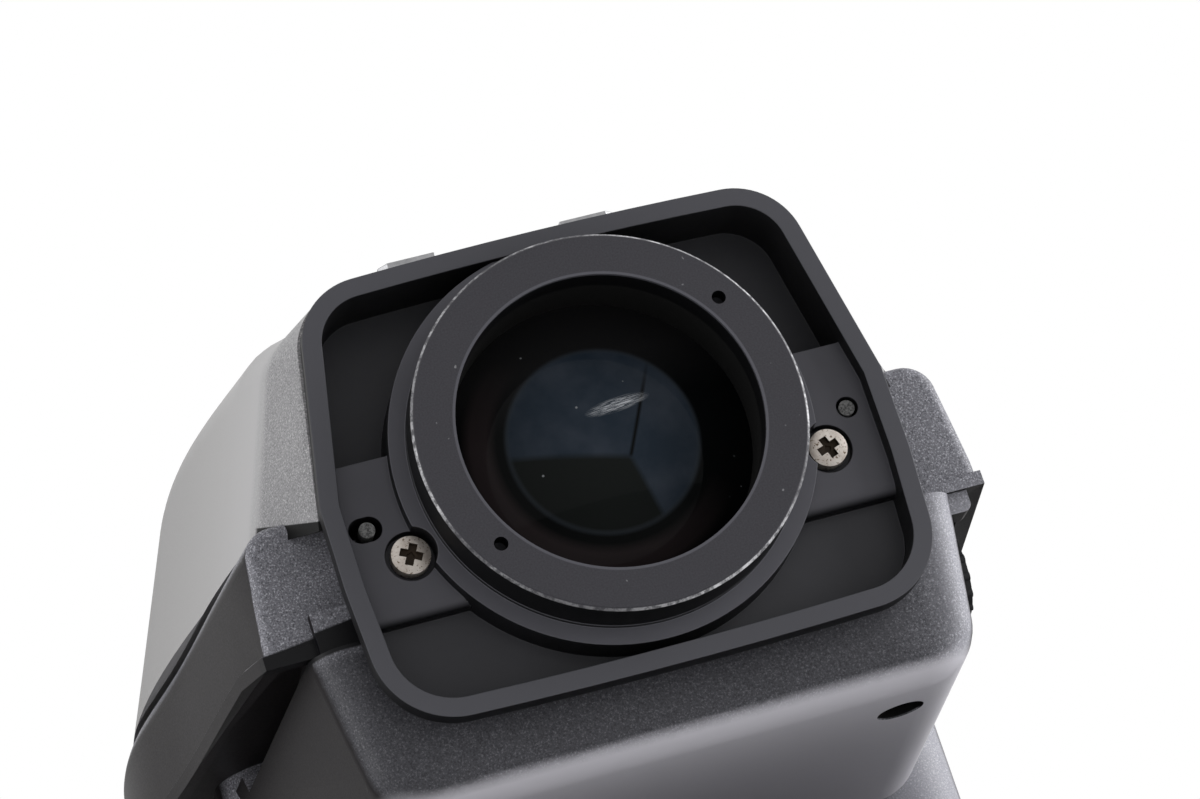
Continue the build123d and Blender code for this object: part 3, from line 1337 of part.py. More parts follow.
with BuildPart() as display_glass:
    block(-screen_half_x, screen_half_x, back_rear_y - display_glass_thick, back_rear_y, screen_z0,
          screen_z1)
display_glass.part.label = "display_glass"
export_step(display_glass.part, "parts/display_glass.step")

for number, (key_x, key_middle) in enumerate(key_places, start=1):
    with BuildPart() as back_key:
        block(key_x - key_half_x, key_x + key_half_x, back_rear_y - key_depth, back_rear_y + key_proud,
              key_middle - key_half_z, key_middle + key_half_z)
        fillet(back_key.edges().filter_by(Axis.Y), key_half_z / 2)
    back_key.part.label = f"back_key_{number}"
    export_step(back_key.part, f"parts/back_key_{number}.step")
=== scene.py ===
import json
from math import cos, pi, radians, sin

import bmesh
import bpy
from mathutils import Matrix, Vector

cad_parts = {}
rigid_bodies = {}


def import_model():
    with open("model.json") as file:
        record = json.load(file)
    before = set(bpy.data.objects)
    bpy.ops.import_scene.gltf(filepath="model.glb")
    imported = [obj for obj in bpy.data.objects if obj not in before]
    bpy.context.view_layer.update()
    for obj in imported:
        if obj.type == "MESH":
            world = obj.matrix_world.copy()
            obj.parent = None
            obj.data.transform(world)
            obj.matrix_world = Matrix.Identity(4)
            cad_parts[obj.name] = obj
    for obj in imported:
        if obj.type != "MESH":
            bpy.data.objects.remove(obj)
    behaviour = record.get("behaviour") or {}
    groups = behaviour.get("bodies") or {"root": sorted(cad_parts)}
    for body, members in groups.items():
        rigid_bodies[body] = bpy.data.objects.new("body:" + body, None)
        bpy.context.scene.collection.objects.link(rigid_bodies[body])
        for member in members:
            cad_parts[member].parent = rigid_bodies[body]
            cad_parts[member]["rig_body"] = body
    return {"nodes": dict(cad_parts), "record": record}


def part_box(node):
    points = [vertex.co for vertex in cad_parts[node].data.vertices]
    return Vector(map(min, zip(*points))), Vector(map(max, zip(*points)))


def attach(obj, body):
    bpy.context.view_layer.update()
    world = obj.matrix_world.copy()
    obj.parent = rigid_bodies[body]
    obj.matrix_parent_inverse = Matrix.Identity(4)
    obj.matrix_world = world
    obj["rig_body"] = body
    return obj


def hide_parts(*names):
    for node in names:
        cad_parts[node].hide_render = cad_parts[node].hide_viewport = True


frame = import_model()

scene = bpy.context.scene
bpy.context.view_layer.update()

# Sizes in metres; MM turns a size in millimetres into metres
MM = 0.001
WELD = 0.001 * MM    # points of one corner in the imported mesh
EYE = Vector((0, 72 * MM, 126 * MM))    # centre of the eyepiece ring's rear face


# Tools for node trees and meshes

def add_node(tree, kind, inputs=(), **settings):
    """A node with its settings made, and its sockets set or linked."""
    made = tree.nodes.new(kind)
    for name, value in settings.items():
        setattr(made, name, value)
    for name, value in dict(inputs).items():
        socket = made.inputs[name]
        if isinstance(value, bpy.types.NodeSocket):
            tree.links.new(value, socket)
        else:
            socket.default_value = value
    return made


def math_node(tree, operation, *values):
    """The result of one sum on numbers or sockets."""
    return add_node(tree, "ShaderNodeMath", dict(enumerate(values)), operation=operation).outputs[0]


def vector_node(tree, operation, *values):
    """One sum on vectors."""
    return add_node(tree, "ShaderNodeVectorMath", dict(enumerate(values)), operation=operation)


def shades(tree, value, stops):
    """A colour ramp over a value: stops are (place, colour or grey)."""
    ramp = add_node(tree, "ShaderNodeValToRGB", {"Fac": value})
    steps = ramp.color_ramp.elements
    while len(steps) < len(stops):
        steps.new(1.0)
    for step, (place, colour) in zip(steps, stops):
        step.position = place
        if isinstance(colour, (int, float)):
            colour = (colour, colour, colour)
        step.color = (*colour, 1.0)
    return ramp.outputs["Color"]


def spread(tree, value, low, high, to_low=0.0, to_high=1.0):
    """A value stretched from one range to another and held inside it."""
    return add_node(tree, "ShaderNodeMapRange", {
        "Value": value, "From Min": low, "From Max": high, "To Min": to_low, "To Max": to_high,
    }).outputs["Result"]


def inside(tree, value, low, high, soft):
    """1 where a value lies between two bounds, falling to 0 over a soft edge."""
    above = spread(tree, value, low - soft, low)
    below = spread(tree, value, high + soft, high)
    return math_node(tree, "MULTIPLY", above, below)


def blended(tree, share, first, second):
    """Two colours mixed by a share."""
    mix = add_node(tree, "ShaderNodeMix", data_type="RGBA")
    for socket, value in ((0, share), (6, first), (7, second)):
        if isinstance(value, bpy.types.NodeSocket):
            tree.links.new(value, mix.inputs[socket])
        else:
            mix.inputs[socket].default_value = value if socket == 0 else (*value, 1.0)
    return mix.outputs[2]


def painted(tree, coat, mask, colour, share):
    """A coat with a colour over it where a mask is 1, as strong as its share."""
    return blended(tree, math_node(tree, "MULTIPLY", mask, share), coat, colour)


def product(tree, *values):
    """Several masks multiplied together."""
    result = values[0]
    for value in values[1:]:
        result = math_node(tree, "MULTIPLY", result, value)
    return result


def object_place(tree):
    """The place on a piece, in metres from the part's origin."""
    return add_node(tree, "ShaderNodeTexCoord").outputs["Object"]


def facing(tree):
    """The direction in which the surface faces."""
    return add_node(tree, "ShaderNodeNewGeometry").outputs["Normal"]


def apart(tree, vector):
    """The X, Y and Z of a vector, as three sockets."""
    return add_node(tree, "ShaderNodeSeparateXYZ", {"Vector": vector}).outputs


def distance_from(tree, place, centre, across):
    """Distance from an axis through a point; the share across is 0 along that axis and 1 elsewhere."""
    away = vector_node(tree, "SUBTRACT", place, tuple(centre)).outputs["Vector"]
    flat = vector_node(tree, "MULTIPLY", away, across).outputs["Vector"]
    return vector_node(tree, "LENGTH", flat).outputs["Value"]


def noise(tree, scale, detail, roughness, place=None):
    """Noise; over a place in metres its scale is in cells a metre."""
    return add_node(tree, "ShaderNodeTexNoise", {
        "Vector": place or object_place(tree), "Scale": scale, "Detail": detail, "Roughness": roughness,
    }).outputs["Fac"]


def bump(tree, height, depth, strength):
    """A bump of a real depth in metres."""
    return add_node(tree, "ShaderNodeBump", {
        "Height": height, "Distance": depth, "Strength": strength,
    }).outputs["Normal"]


def new_finish(name, colour, roughness, metallic=0.0, **sockets):
    """A material with its constant values on the shader's own sockets."""
    made = bpy.data.materials.new(name)
    made.use_nodes = True
    made.diffuse_color = (*colour, 1.0)
    shader = made.node_tree.nodes["Principled BSDF"]
    shader.inputs["Base Color"].default_value = (*colour, 1.0)
    shader.inputs["Roughness"].default_value = roughness
    shader.inputs["Metallic"].default_value = metallic
    for socket, value in sockets.items():
        shader.inputs[socket.replace("_", " ")].default_value = value
    return made, made.node_tree, shader


def link(tree, output, shader, socket):
    """Join an output to one of the shader's sockets."""
    tree.links.new(output, shader.inputs[socket])


# Finishes

def speckled_paint(name, dark, middle, pale, roughness, extra=None):
    """Fine metallic paint: grains of about a tenth of a millimetre, duller on its sides."""
    shine, side_shine = 0.16, 0.04
    made, tree, shader = new_finish(name, middle, roughness, Specular_IOR_Level=shine)
    place = object_place(tree)
    grain = noise(tree, scale=5600.0, detail=2.0, roughness=0.75, place=place)
    clouds = noise(tree, scale=120.0, detail=3.0, roughness=0.55, place=place)
    coat = shades(tree, grain, ((0.34, dark), (0.47, middle), (0.56, middle), (0.68, pale)))
    coat = blended(tree, spread(tree, clouds, 0.35, 0.75, 0.0, 0.2), coat, dark)
    if extra:
        coat = extra(tree, place, coat)
    link(tree, coat, shader, "Base Color")
    grain_roughness = spread(tree, grain, 0.2, 0.8, roughness + 0.08, roughness - 0.08)
    link(tree, grain_roughness, shader, "Roughness")
    sideways = math_node(tree, "ABSOLUTE", apart(tree, facing(tree))["X"])
    link(tree, spread(tree, sideways, 0.7, 0.95, shine, side_shine), shader, "Specular IOR Level")
    link(tree, bump(tree, grain, depth=0.01 * MM, strength=0.5), shader, "Normal")
    return made


def finder_marks(tree, place, coat):
    """The finder's case: speckle behind and on top, painted shade on its sides and on the block below the
    frame, painted light on its underside and its right corner, pins, and holes and a wedge under the left
    shoulder in painted shade.
    """
    block_painted_shade, side_painted_shade = (0.018, 0.018, 0.021), (0.011, 0.0095, 0.0105)
    underside_painted_light, corner_painted_highlight = (0.5, 0.49, 0.53), (0.5, 0.5, 0.55)
    shoulder_painted_shadow, hole_painted_shade = (0.004, 0.004, 0.005), (0.003, 0.003, 0.003)
    pin_middle, pin_radius, pin_front = (22.95 * MM, 0, 123.6 * MM), 1.0 * MM, 64 * MM
    hole_middle, hole_radius = (21.5 * MM, 54.5 * MM, 0), 2.35 * MM
    hole_low, hole_high, soft = 97.7 * MM, 105 * MM, 0.1 * MM

    x, y, z = apart(tree, place)
    normal = apart(tree, facing(tree))
    backward, upward = normal["Y"], normal["Z"]
    # painted shade: the block below the frame is darker behind and at its left, less so towards its right
    # corner
    turned = math_node(tree, "MAXIMUM",
                       spread(tree, backward, 0.75, 0.95), spread(tree, x, 10 * MM, 20 * MM))
    block = product(tree, spread(tree, z, 115.5 * MM, 113 * MM), turned,
                    spread(tree, x, -31 * MM, -20 * MM, 0.25))
    coat = painted(tree, coat, block, block_painted_shade, 0.78)
    # painted shade: faces that look neither back nor up take a near-black colour
    speckled = math_node(tree, "MAXIMUM", spread(tree, backward, 0.3, 0.55), spread(tree, upward, 0.3, 0.6))
    coat = blended(tree, speckled, side_painted_shade, coat)
    # painted light: the underside is painted pale, as if lit from below
    below = product(tree, spread(tree, upward, -0.35, -0.7), spread(tree, z, 101 * MM, 99 * MM))
    coat = blended(tree, below, coat, underside_painted_light)
    # painted highlight on the block's rounded right corner
    corner = product(tree, spread(tree, x, -24 * MM, -30.5 * MM), spread(tree, z, 116 * MM, 112 * MM),
                     spread(tree, backward, 0.25, 0.5), speckled)
    coat = painted(tree, coat, corner, corner_painted_highlight, 0.4)
    # painted shadow: the dark wedge under the left shoulder, widest at the frame
    wedge_slope, wedge_top = -0.13, 120.5 * MM
    wedge = math_node(tree, "MULTIPLY_ADD", x, wedge_slope, wedge_top)
    shoulder_shadow_mask = product(tree, spread(tree, math_node(tree, "SUBTRACT", z, wedge), 0.1 * MM, -0.1 * MM),
                  spread(tree, x, 24 * MM, 25 * MM), spread(tree, y, 59 * MM, 59.4 * MM),
                  spread(tree, z, 113.9 * MM, 114.1 * MM))
    coat = blended(tree, shoulder_shadow_mask, coat, shoulder_painted_shadow)
    # the pins, and the underside's holes darkened with painted shade, on both sides
    side = math_node(tree, "ABSOLUTE", x)
    mirrored = add_node(tree, "ShaderNodeCombineXYZ", {"X": side, "Y": y, "Z": z}).outputs["Vector"]
    at_pin = distance_from(tree, mirrored, pin_middle, (1, 0, 1))
    pin = product(tree, spread(tree, at_pin, pin_radius, pin_radius - soft),
                  spread(tree, y, pin_front, pin_front + 2 * soft))
    pitting = noise(tree, scale=5200.0, detail=2.0, roughness=0.6, place=place)
    coat = blended(tree, pin, coat, shades(tree, pitting, ((0.35, 0.05), (0.62, 0.22))))
    at_hole = distance_from(tree, mirrored, hole_middle, (1, 1, 0))
    hole = product(tree, spread(tree, at_hole, hole_radius, hole_radius - soft),
                   inside(tree, z, hole_low, hole_high, soft))
    return blended(tree, hole, coat, hole_painted_shade)


def cover_marks(tree, place, coat):
    """The silver cover: smooth, in painted shade that darkens forwards, with a painted highlight at its
    crease and a black painted shadow along its rear hem.
    """
    crease_painted_highlight, hem_painted_shadow = (0.42, 0.415, 0.42), (0.003, 0.003, 0.003)
    hem_slope, hem_y, hem_z = 0.4, 60.5 * MM, 127.5 * MM
    parts = apart(tree, place)
    y, z = parts["Y"], parts["Z"]
    # painted shade: the smooth sides grow darker forwards
    side = shades(tree, spread(tree, y, -10 * MM, 54 * MM), (
        (0.0, (0.13, 0.125, 0.125)), (0.45, (0.28, 0.275, 0.275)),
        (0.8, (0.37, 0.365, 0.365)), (1.0, (0.44, 0.435, 0.44))))
    smooth = spread(tree, y, 54.2 * MM, 53.2 * MM)
    coat = blended(tree, smooth, coat, side)
    # painted highlight along the crease
    crease = inside(tree, y, 53.6 * MM, 54.8 * MM, 1.6 * MM)
    coat = painted(tree, coat, crease, crease_painted_highlight, 0.7)
    # painted shadow: the hem, black, is what lies under a line that falls rearwards through hem_y, hem_z
    hem_line = math_node(tree, "MULTIPLY_ADD", y, hem_slope, -hem_y * hem_slope - hem_z)
    hem = product(tree, spread(tree, math_node(tree, "ADD", z, hem_line), 0.08 * MM, -0.02 * MM),
                  spread(tree, y, 54.8 * MM, 55.4 * MM))
    return blended(tree, hem, coat, hem_painted_shadow)


def moulded_plastic(name, colour, roughness, specular=0.22):
    """Black moulded plastic with faint flow lines and a very fine skin."""
    made, tree, shader = new_finish(name, colour, roughness, Specular_IOR_Level=specular)
    place = object_place(tree)
    flow = add_node(tree, "ShaderNodeMapping", {"Vector": place, "Scale": (60.0, 60.0, 300.0)})
    streaks = noise(tree, scale=4.0, detail=5.0, roughness=0.65, place=flow.outputs["Vector"])
    skin = noise(tree, scale=5200.0, detail=2.0, roughness=0.5, place=place)
    paler = tuple(channel * 1.2 + 0.002 for channel in colour)
    link(tree, blended(tree, spread(tree, streaks, 0.35, 0.75), colour, paler), shader, "Base Color")
    link(tree, spread(tree, streaks, 0.3, 0.7, roughness - 0.04, roughness + 0.05), shader, "Roughness")
    link(tree, bump(tree, skin, depth=0.004 * MM, strength=0.6), shader, "Normal")
    return made


def frame_plastic():
    """The eyepiece frame: an even rim, floors in painted shade that darkens with their depth, cloudy flow
    marks, and near-black painted shade on the walls.
    """
    rim, cloudy = (0.075, 0.075, 0.085), (0.07, 0.07, 0.078)
    inner_wall_painted_shade, outer_wall_painted_shade = (0.012, 0.012, 0.013), (0.006, 0.006, 0.007)
    made, tree, shader = new_finish("eyepiece_plastic", rim, 0.42, Specular_IOR_Level=0.14)
    place = object_place(tree)
    normal = facing(tree)
    backward = spread(tree, apart(tree, normal)["Y"], 0.3, 0.85)
    # painted shade: the floors darker by their depth, from the deepest to the rim
    level = spread(tree, apart(tree, place)["Y"], 60 * MM, 68 * MM)
    floor = shades(tree, level, (
        (0.0, (0.04, 0.04, 0.045)), (0.2, (0.045, 0.045, 0.05)), (0.42, (0.05, 0.05, 0.055)),
        (0.52, (0.05, 0.05, 0.055)), (0.68, (0.082, 0.081, 0.092)), (0.86, (0.105, 0.104, 0.12)),
        (0.93, rim)))
    clouds = noise(tree, scale=160.0, detail=4.0, roughness=0.6, place=place)
    floor = blended(tree, spread(tree, clouds, 0.4, 0.8, 0.0, 0.3), floor, cloudy)
    # painted shade: the walls near black, those facing the axis a little paler than those facing out
    away = vector_node(tree, "SUBTRACT", place, tuple(EYE)).outputs["Vector"]
    outward = vector_node(tree, "DOT_PRODUCT", away, normal).outputs["Value"]
    wall_painted_shade = blended(tree, spread(tree, outward, -2 * MM, 2 * MM), inner_wall_painted_shade, outer_wall_painted_shade)
    link(tree, blended(tree, backward, wall_painted_shade, floor), shader, "Base Color")
    skin = noise(tree, scale=4200.0, detail=2.0, roughness=0.5, place=place)
    link(tree, spread(tree, clouds, 0.3, 0.7, 0.38, 0.5), shader, "Roughness")
    link(tree, bump(tree, skin, depth=0.004 * MM, strength=0.6), shader, "Normal")
    return made


def ring_anodised():
    """The eyepiece ring: even black anodising, bright where its rear edge is worn, with painted shade on
    its sides and bore.
    """
    face, dusty = (0.049, 0.048, 0.055), (0.2, 0.2, 0.21)
    ring_side_painted_shade, bore_black_and_shade = (0.0025, 0.0025, 0.003), (0.0095, 0.0095, 0.0095)
    bare_edge, inner_edge = (0.62, 0.62, 0.64), (0.13, 0.13, 0.15)
    made, tree, shader = new_finish("ring_black", face, 0.55, Specular_IOR_Level=0.12)
    place = object_place(tree)
    y = apart(tree, place)["Y"]
    radius = distance_from(tree, place, EYE, (1, 0, 1))
    toward_rear = apart(tree, facing(tree))["Y"]
    grain = noise(tree, scale=6000.0, detail=2.0, roughness=0.6, place=place)
    darker = tuple(channel * 0.86 for channel in face)
    paler = tuple(channel * 1.16 for channel in face)
    even = blended(tree, spread(tree, grain, 0.3, 0.75), darker, paler)
    dust = spread(tree, noise(tree, scale=1300.0, detail=1.0, roughness=0.5, place=place), 0.79, 0.82)
    even = blended(tree, dust, even, dusty)
    # painted shade: faces that do not look rearwards are near black
    coat = blended(tree, spread(tree, toward_rear, 0.25, 0.6), ring_side_painted_shade, even)
    # the bore: its own black matte thread, with painted shade
    bore = product(tree, spread(tree, radius, 14.6 * MM, 14.4 * MM), spread(tree, y, 69.5 * MM, 69.2 * MM),
                   spread(tree, toward_rear, 0.6, 0.25))
    coat = blended(tree, bore, coat, bore_black_and_shade)
    edge = inside(tree, radius, 17.82 * MM, 18.1 * MM, 0.06 * MM)
    back_edge = spread(tree, y, 71.6 * MM, 71.75 * MM)
    flakes = noise(tree, scale=1500.0, detail=4.0, roughness=0.7, place=place)
    stretches = noise(tree, scale=130.0, detail=2.0, roughness=0.5, place=place)
    worn = product(tree, edge, back_edge, spread(tree, flakes, 0.42, 0.6, 0.15, 1.0),
                   spread(tree, stretches, 0.4, 0.62, 0.25, 1.0))
    coat = blended(tree, worn, coat, bare_edge)
    inner = product(tree, inside(tree, radius, 14 * MM, 14.22 * MM, 0.05 * MM), back_edge)
    coat = painted(tree, coat, inner, inner_edge, 0.55)
    link(tree, coat, shader, "Base Color")
    link(tree, bump(tree, grain, depth=0.004 * MM, strength=0.6), shader, "Normal")
    return made


def eye_glass():
    """The eye lens over a dark finder, as the photograph's angle shows it, painted on: a blue-grey disc of
    painted reflection with edges.
    """
    outer, upper_painted_light, brown = (0.0028, 0.0034, 0.0036), (0.011, 0.011, 0.0115), (0.026, 0.02, 0.021)
    reflection_blue_dark, reflection_blue_pale, deep = (0.016, 0.024, 0.035), (0.03, 0.038, 0.051), (0.0085, 0.01, 0.0095)
    rim_blue_reflection, dusty, scratch_highlight_grey = (0.03, 0.036, 0.044), (0.2, 0.21, 0.22), (0.5, 0.52, 0.55)
    made, tree, shader = new_finish("eye_glass", (0.004, 0.005, 0.006), 0.04, Specular_IOR_Level=0.035)
    place = object_place(tree)
    parts = apart(tree, place)
    x = parts["X"]
    rise = math_node(tree, "SUBTRACT", parts["Z"], EYE.z)
    radius = distance_from(tree, place, EYE, (1, 0, 1))
    haze = noise(tree, scale=260.0, detail=3.0, roughness=0.55, place=place)

    # painted view and reflection round the disc: black, a little paler high up as painted light, and a
    # brown crescent at the lower left
    dark = blended(tree, spread(tree, rise, 3 * MM, 8 * MM), outer, upper_painted_light)
    low_left = spread(tree, math_node(tree, "SUBTRACT", x, rise), -4 * MM, 9 * MM)
    crescent = product(tree, inside(tree, radius, 10.6 * MM, 12 * MM, 0.9 * MM), low_left)
    round_disc = blended(tree, crescent, dark, brown)

    # painted reflection and view: the blue disc is darker below the prism's rear edge and to the left of
    # its slanting edge
    blue = blended(tree, spread(tree, haze, 0.35, 0.7), reflection_blue_dark, reflection_blue_pale)
    low_edge = math_node(tree, "MULTIPLY_ADD", x, 0.266, -1.88 * MM)
    over_edge = math_node(tree, "SUBTRACT", rise, low_edge)
    below = spread(tree, over_edge, 0.35 * MM, -0.35 * MM)
    slant = math_node(tree, "MULTIPLY_ADD", rise, 0.246, -1.17 * MM)
    leftward = spread(tree, math_node(tree, "SUBTRACT", x, slant), -0.3 * MM, 0.3 * MM)
    disc = blended(tree, product(tree, below, leftward), blue, deep)
    # the prism's fold, painted as a dark line above that edge
    fold = math_node(tree, "MULTIPLY_ADD", rise, -0.518, -2.97 * MM)
    on_fold = inside(tree, math_node(tree, "SUBTRACT", x, fold), -0.05 * MM, 0.05 * MM, 0.25 * MM)
    above = spread(tree, over_edge, -0.2 * MM, 0.2 * MM)
    fold_line = product(tree, on_fold, above, spread(tree, rise, 7 * MM, 3 * MM))
    disc = blended(tree, fold_line, disc, dark)
    body = blended(tree, spread(tree, radius, 8.95 * MM, 8.65 * MM), round_disc, disc)
    # painted reflection: a blue ring at the disc's edge
    body = painted(tree, body, inside(tree, radius, 8.75 * MM, 8.85 * MM, 0.3 * MM), rim_blue_reflection, 0.5)

    # dust, and one patch of cleaning scratches with a painted highlight
    specks = add_node(tree, "ShaderNodeTexVoronoi", {"Vector": place, "Scale": 620.0})
    chosen = spread(tree, apart(tree, specks.outputs["Color"])["X"], 0.9, 0.93)
    dust = product(tree, spread(tree, specks.outputs["Distance"], 0.085, 0.05), chosen)
    body = blended(tree, dust, body, dusty)
    in_patch = add_node(tree, "ShaderNodeMapping", {
        "Vector": place, "Location": (-2.1 * MM, 0.0, EYE.z + 2.75 * MM), "Rotation": (0, radians(6), 0),
        "Scale": (3.3 * MM, 1.0, 0.75 * MM)}, vector_type="TEXTURE").outputs["Vector"]
    patch = spread(tree, distance_from(tree, in_patch, (0, 0, 0), (1, 0, 1)), 1.0, 0.3)
    drawn_out = vector_node(tree, "MULTIPLY", in_patch, (1.4, 1, 8.0)).outputs["Vector"]
    streaks = noise(tree, scale=1.6, detail=4.0, roughness=0.7, place=drawn_out)
    scratched = product(tree, patch, spread(tree, streaks, 0.47, 0.56))
    body = blended(tree, math_node(tree, "MULTIPLY_ADD", patch, 0.06, scratched), body, scratch_highlight_grey)
    link(tree, body, shader, "Base Color")
    return made


def bare_metal(name, colour, roughness):
    """Satin metal with fine scratches along X."""
    made, tree, shader = new_finish(name, colour, roughness, metallic=1.0)
    place = object_place(tree)
    lines = add_node(tree, "ShaderNodeMapping", {"Vector": place, "Scale": (40.0, 1400.0, 1400.0)})
    brushed = noise(tree, scale=6.0, detail=4.0, roughness=0.7, place=lines.outputs["Vector"])
    marks = noise(tree, scale=900.0, detail=3.0, roughness=0.6, place=place)
    darker = tuple(channel * 0.72 for channel in colour)
    link(tree, blended(tree, spread(tree, marks, 0.42, 0.7), colour, darker), shader, "Base Color")
    link(tree, spread(tree, brushed, 0.3, 0.7, roughness - 0.08, roughness + 0.1), shader, "Roughness")
    link(tree, bump(tree, brushed, depth=0.006 * MM, strength=0.4), shader, "Normal")
    return made


def pitted_nickel():
    """Warm nickel plating with brown pits, as on old screw heads."""
    made, tree, shader = new_finish("nickel", (0.66, 0.60, 0.54), 0.4, metallic=0.75)
    place = object_place(tree)
    pits = noise(tree, scale=3800.0, detail=3.0, roughness=0.65, place=place)
    film = noise(tree, scale=900.0, detail=3.0, roughness=0.6, place=place)
    plate = blended(tree, spread(tree, film, 0.35, 0.75), (0.56, 0.52, 0.48), (0.38, 0.33, 0.29))
    plate = blended(tree, spread(tree, pits, 0.58, 0.64), plate, (0.12, 0.08, 0.05))
    link(tree, plate, shader, "Base Color")
    link(tree, spread(tree, pits, 0.3, 0.7, 0.32, 0.5), shader, "Roughness")
    link(tree, bump(tree, pits, depth=-0.02 * MM, strength=0.6), shader, "Normal")
    return made


def grained_rubber(name, colour):
    """Rubber with a leather-like grain."""
    made, tree, shader = new_finish(name, colour, 0.62, Specular_IOR_Level=0.3)
    place = object_place(tree)
    cells = add_node(tree, "ShaderNodeTexVoronoi", {"Vector": place, "Scale": 720.0, "Smoothness": 0.6},
                     feature="SMOOTH_F1")
    fine = noise(tree, scale=2600.0, detail=3.0, roughness=0.6, place=place)
    height = math_node(tree, "MULTIPLY_ADD", fine, 0.25, cells.outputs["Distance"])
    paler = tuple(channel * 1.9 for channel in colour)
    link(tree, blended(tree, spread(tree, cells.outputs["Distance"], 0.1, 0.6), paler, colour), shader,
         "Base Color")
    link(tree, spread(tree, cells.outputs["Distance"], 0.1, 0.6, 0.7, 0.5), shader, "Roughness")
    link(tree, bump(tree, height, depth=0.14 * MM, strength=0.8), shader, "Normal")
    return made


def gloss_window(name, colour, roughness=0.06):
    """Glossy glass or a display cover with faint smears."""
    made, tree, shader = new_finish(name, colour, roughness, Specular_IOR_Level=0.3, Coat_Weight=0.3)
    smears = noise(tree, scale=150.0, detail=3.0, roughness=0.6)
    paler = tuple(channel * 1.5 for channel in colour)
    link(tree, blended(tree, spread(tree, smears, 0.4, 0.8), colour, paler), shader, "Base Color")
    link(tree, spread(tree, smears, 0.4, 0.8, roughness - 0.02, roughness + 0.06), shader, "Roughness")
    return made


FINISH = {
    "finder_paint": speckled_paint("finder_paint", (0.08, 0.08, 0.09), (0.2, 0.2, 0.225),
                                   (0.55, 0.55, 0.6), 0.44, finder_marks),
    "cover_paint": speckled_paint("cover_paint", (0.15, 0.15, 0.155), (0.28, 0.277, 0.285),
                                  (0.55, 0.545, 0.55), 0.42, cover_marks),
    "body_paint": speckled_paint("body_paint", (0.03, 0.03, 0.034), (0.07, 0.07, 0.078),
                                 (0.26, 0.26, 0.28), 0.46),
    "eyepiece_plastic": frame_plastic(),
    "body_black": moulded_plastic("body_black", (0.014, 0.014, 0.016), 0.45),
    "inner_black": moulded_plastic("inner_black", (0.003, 0.003, 0.003), 0.7, specular=0.08),
    "battery_plastic": moulded_plastic("battery_plastic", (0.02, 0.02, 0.023), 0.5),
    "ring_black": ring_anodised(),
    "blade_metal": moulded_plastic("blade_metal", (0.012, 0.012, 0.013), 0.35),
    "board": moulded_plastic("board", (0.01, 0.07, 0.03), 0.5),
    "steel": bare_metal("steel", (0.33, 0.33, 0.34), 0.42),
    "nickel": pitted_nickel(),
    "gold": bare_metal("gold", (0.83, 0.60, 0.25), 0.25),
    "mirror_silver": bare_metal("mirror_silver", (0.92, 0.92, 0.93), 0.1),
    "grip_rubber": grained_rubber("grip_rubber", (0.011, 0.011, 0.012)),
    "optical_glass": gloss_window("optical_glass", (0.004, 0.006, 0.008), 0.04),
    "display_cover": gloss_window("display_cover", (0.004, 0.004, 0.006)),
    "sensor_face": gloss_window("sensor_face", (0.02, 0.045, 0.04)),
}
EXTRA_FINISH = {
    "eye_glass": eye_glass(),
    "recess_brown": moulded_plastic("recess_brown", (0.028, 0.018, 0.010), 0.6),
    "dark_steel": bare_metal("dark_steel", (0.09, 0.09, 0.095), 0.4),
}


# CAD nodes take their finish, and some are shown by a copy with rounded edges or moved points

def dress(piece, finish):
    """Give a piece its finish."""
    piece.data.materials.clear()
    piece.data.materials.append(FINISH[finish])


def shade_by_angle(mesh, angle):
    """Smooth faces with the edges above an angle kept sharp."""
    for face in mesh.faces:
        face.smooth = True
    for edge in mesh.edges:
        if len(edge.link_faces) == 2 and edge.calc_face_angle(0.0) > angle:
            edge.smooth = False


def merged_copy(name):
    """A copy of a CAD node as a new piece, and its mesh to edit, with the points of each corner joined."""
    piece = bpy.data.objects.new(name + "_piece", frame["nodes"][name].data.copy())
    scene.collection.objects.link(piece)
    mesh = bmesh.new()
    mesh.from_mesh(piece.data)
    bmesh.ops.remove_doubles(mesh, verts=mesh.verts, dist=WELD)
    return piece, mesh


def put_back(mesh, piece, angle):
    """The edited mesh back into its piece, shaded by an angle."""
    shade_by_angle(mesh, angle)
    mesh.to_mesh(piece.data)
    mesh.free()
    if piece.data.has_custom_normals:
        with bpy.context.temp_override(object=piece, active_object=piece):
            bpy.ops.mesh.customdata_custom_splitnormals_clear()


def show_for(piece, name):
    """The piece moves with a CAD node's body and is shown in its place."""
    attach(piece, frame["nodes"][name]["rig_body"])
    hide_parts(name)


# Forms that differ from the CAD: each rule takes a point and gives its new place

def held(value):
    """A value held between 0 and 1."""
    return max(0.0, min(1.0, value))


def lower_lip(point):
    """The lip under the housing's side shoulders, drawn down a little."""
    inner_x, front_y, low_z, high_z, drop = 22 * MM, 55 * MM, 115.9 * MM, 117.45 * MM, 1.3 * MM
    in_lip = abs(point.x) > inner_x and point.y > front_y and low_z < point.z < high_z
    return Vector((point.x, point.y, point.z - drop)) if in_lip else point


def lower_crease(point):
    """The cover's roof drops towards its crease, and its rear hem reaches lower."""
    front, crease, rear, roof_drop = 47 * MM, 54 * MM, 65.5 * MM, 1.6 * MM
    shoulder_z, roof_rise = 128 * MM, 21.8 * MM
    hem_front, hem_z, hem_height, hem_slope = 55 * MM, 129.5 * MM, 1.4 * MM, 0.305
    if point.y < crease:
        share = (point.y - front) / (crease - front)
    else:
        share = (rear - point.y) / (rear - crease)
    height = max(0.0, (point.z - shoulder_z) / roof_rise)
    hem = held((hem_z - point.z) / hem_height) * max(0.0, point.y - hem_front) * hem_slope
    return Vector((point.x, point.y, point.z - roof_drop * held(share) * height - hem))


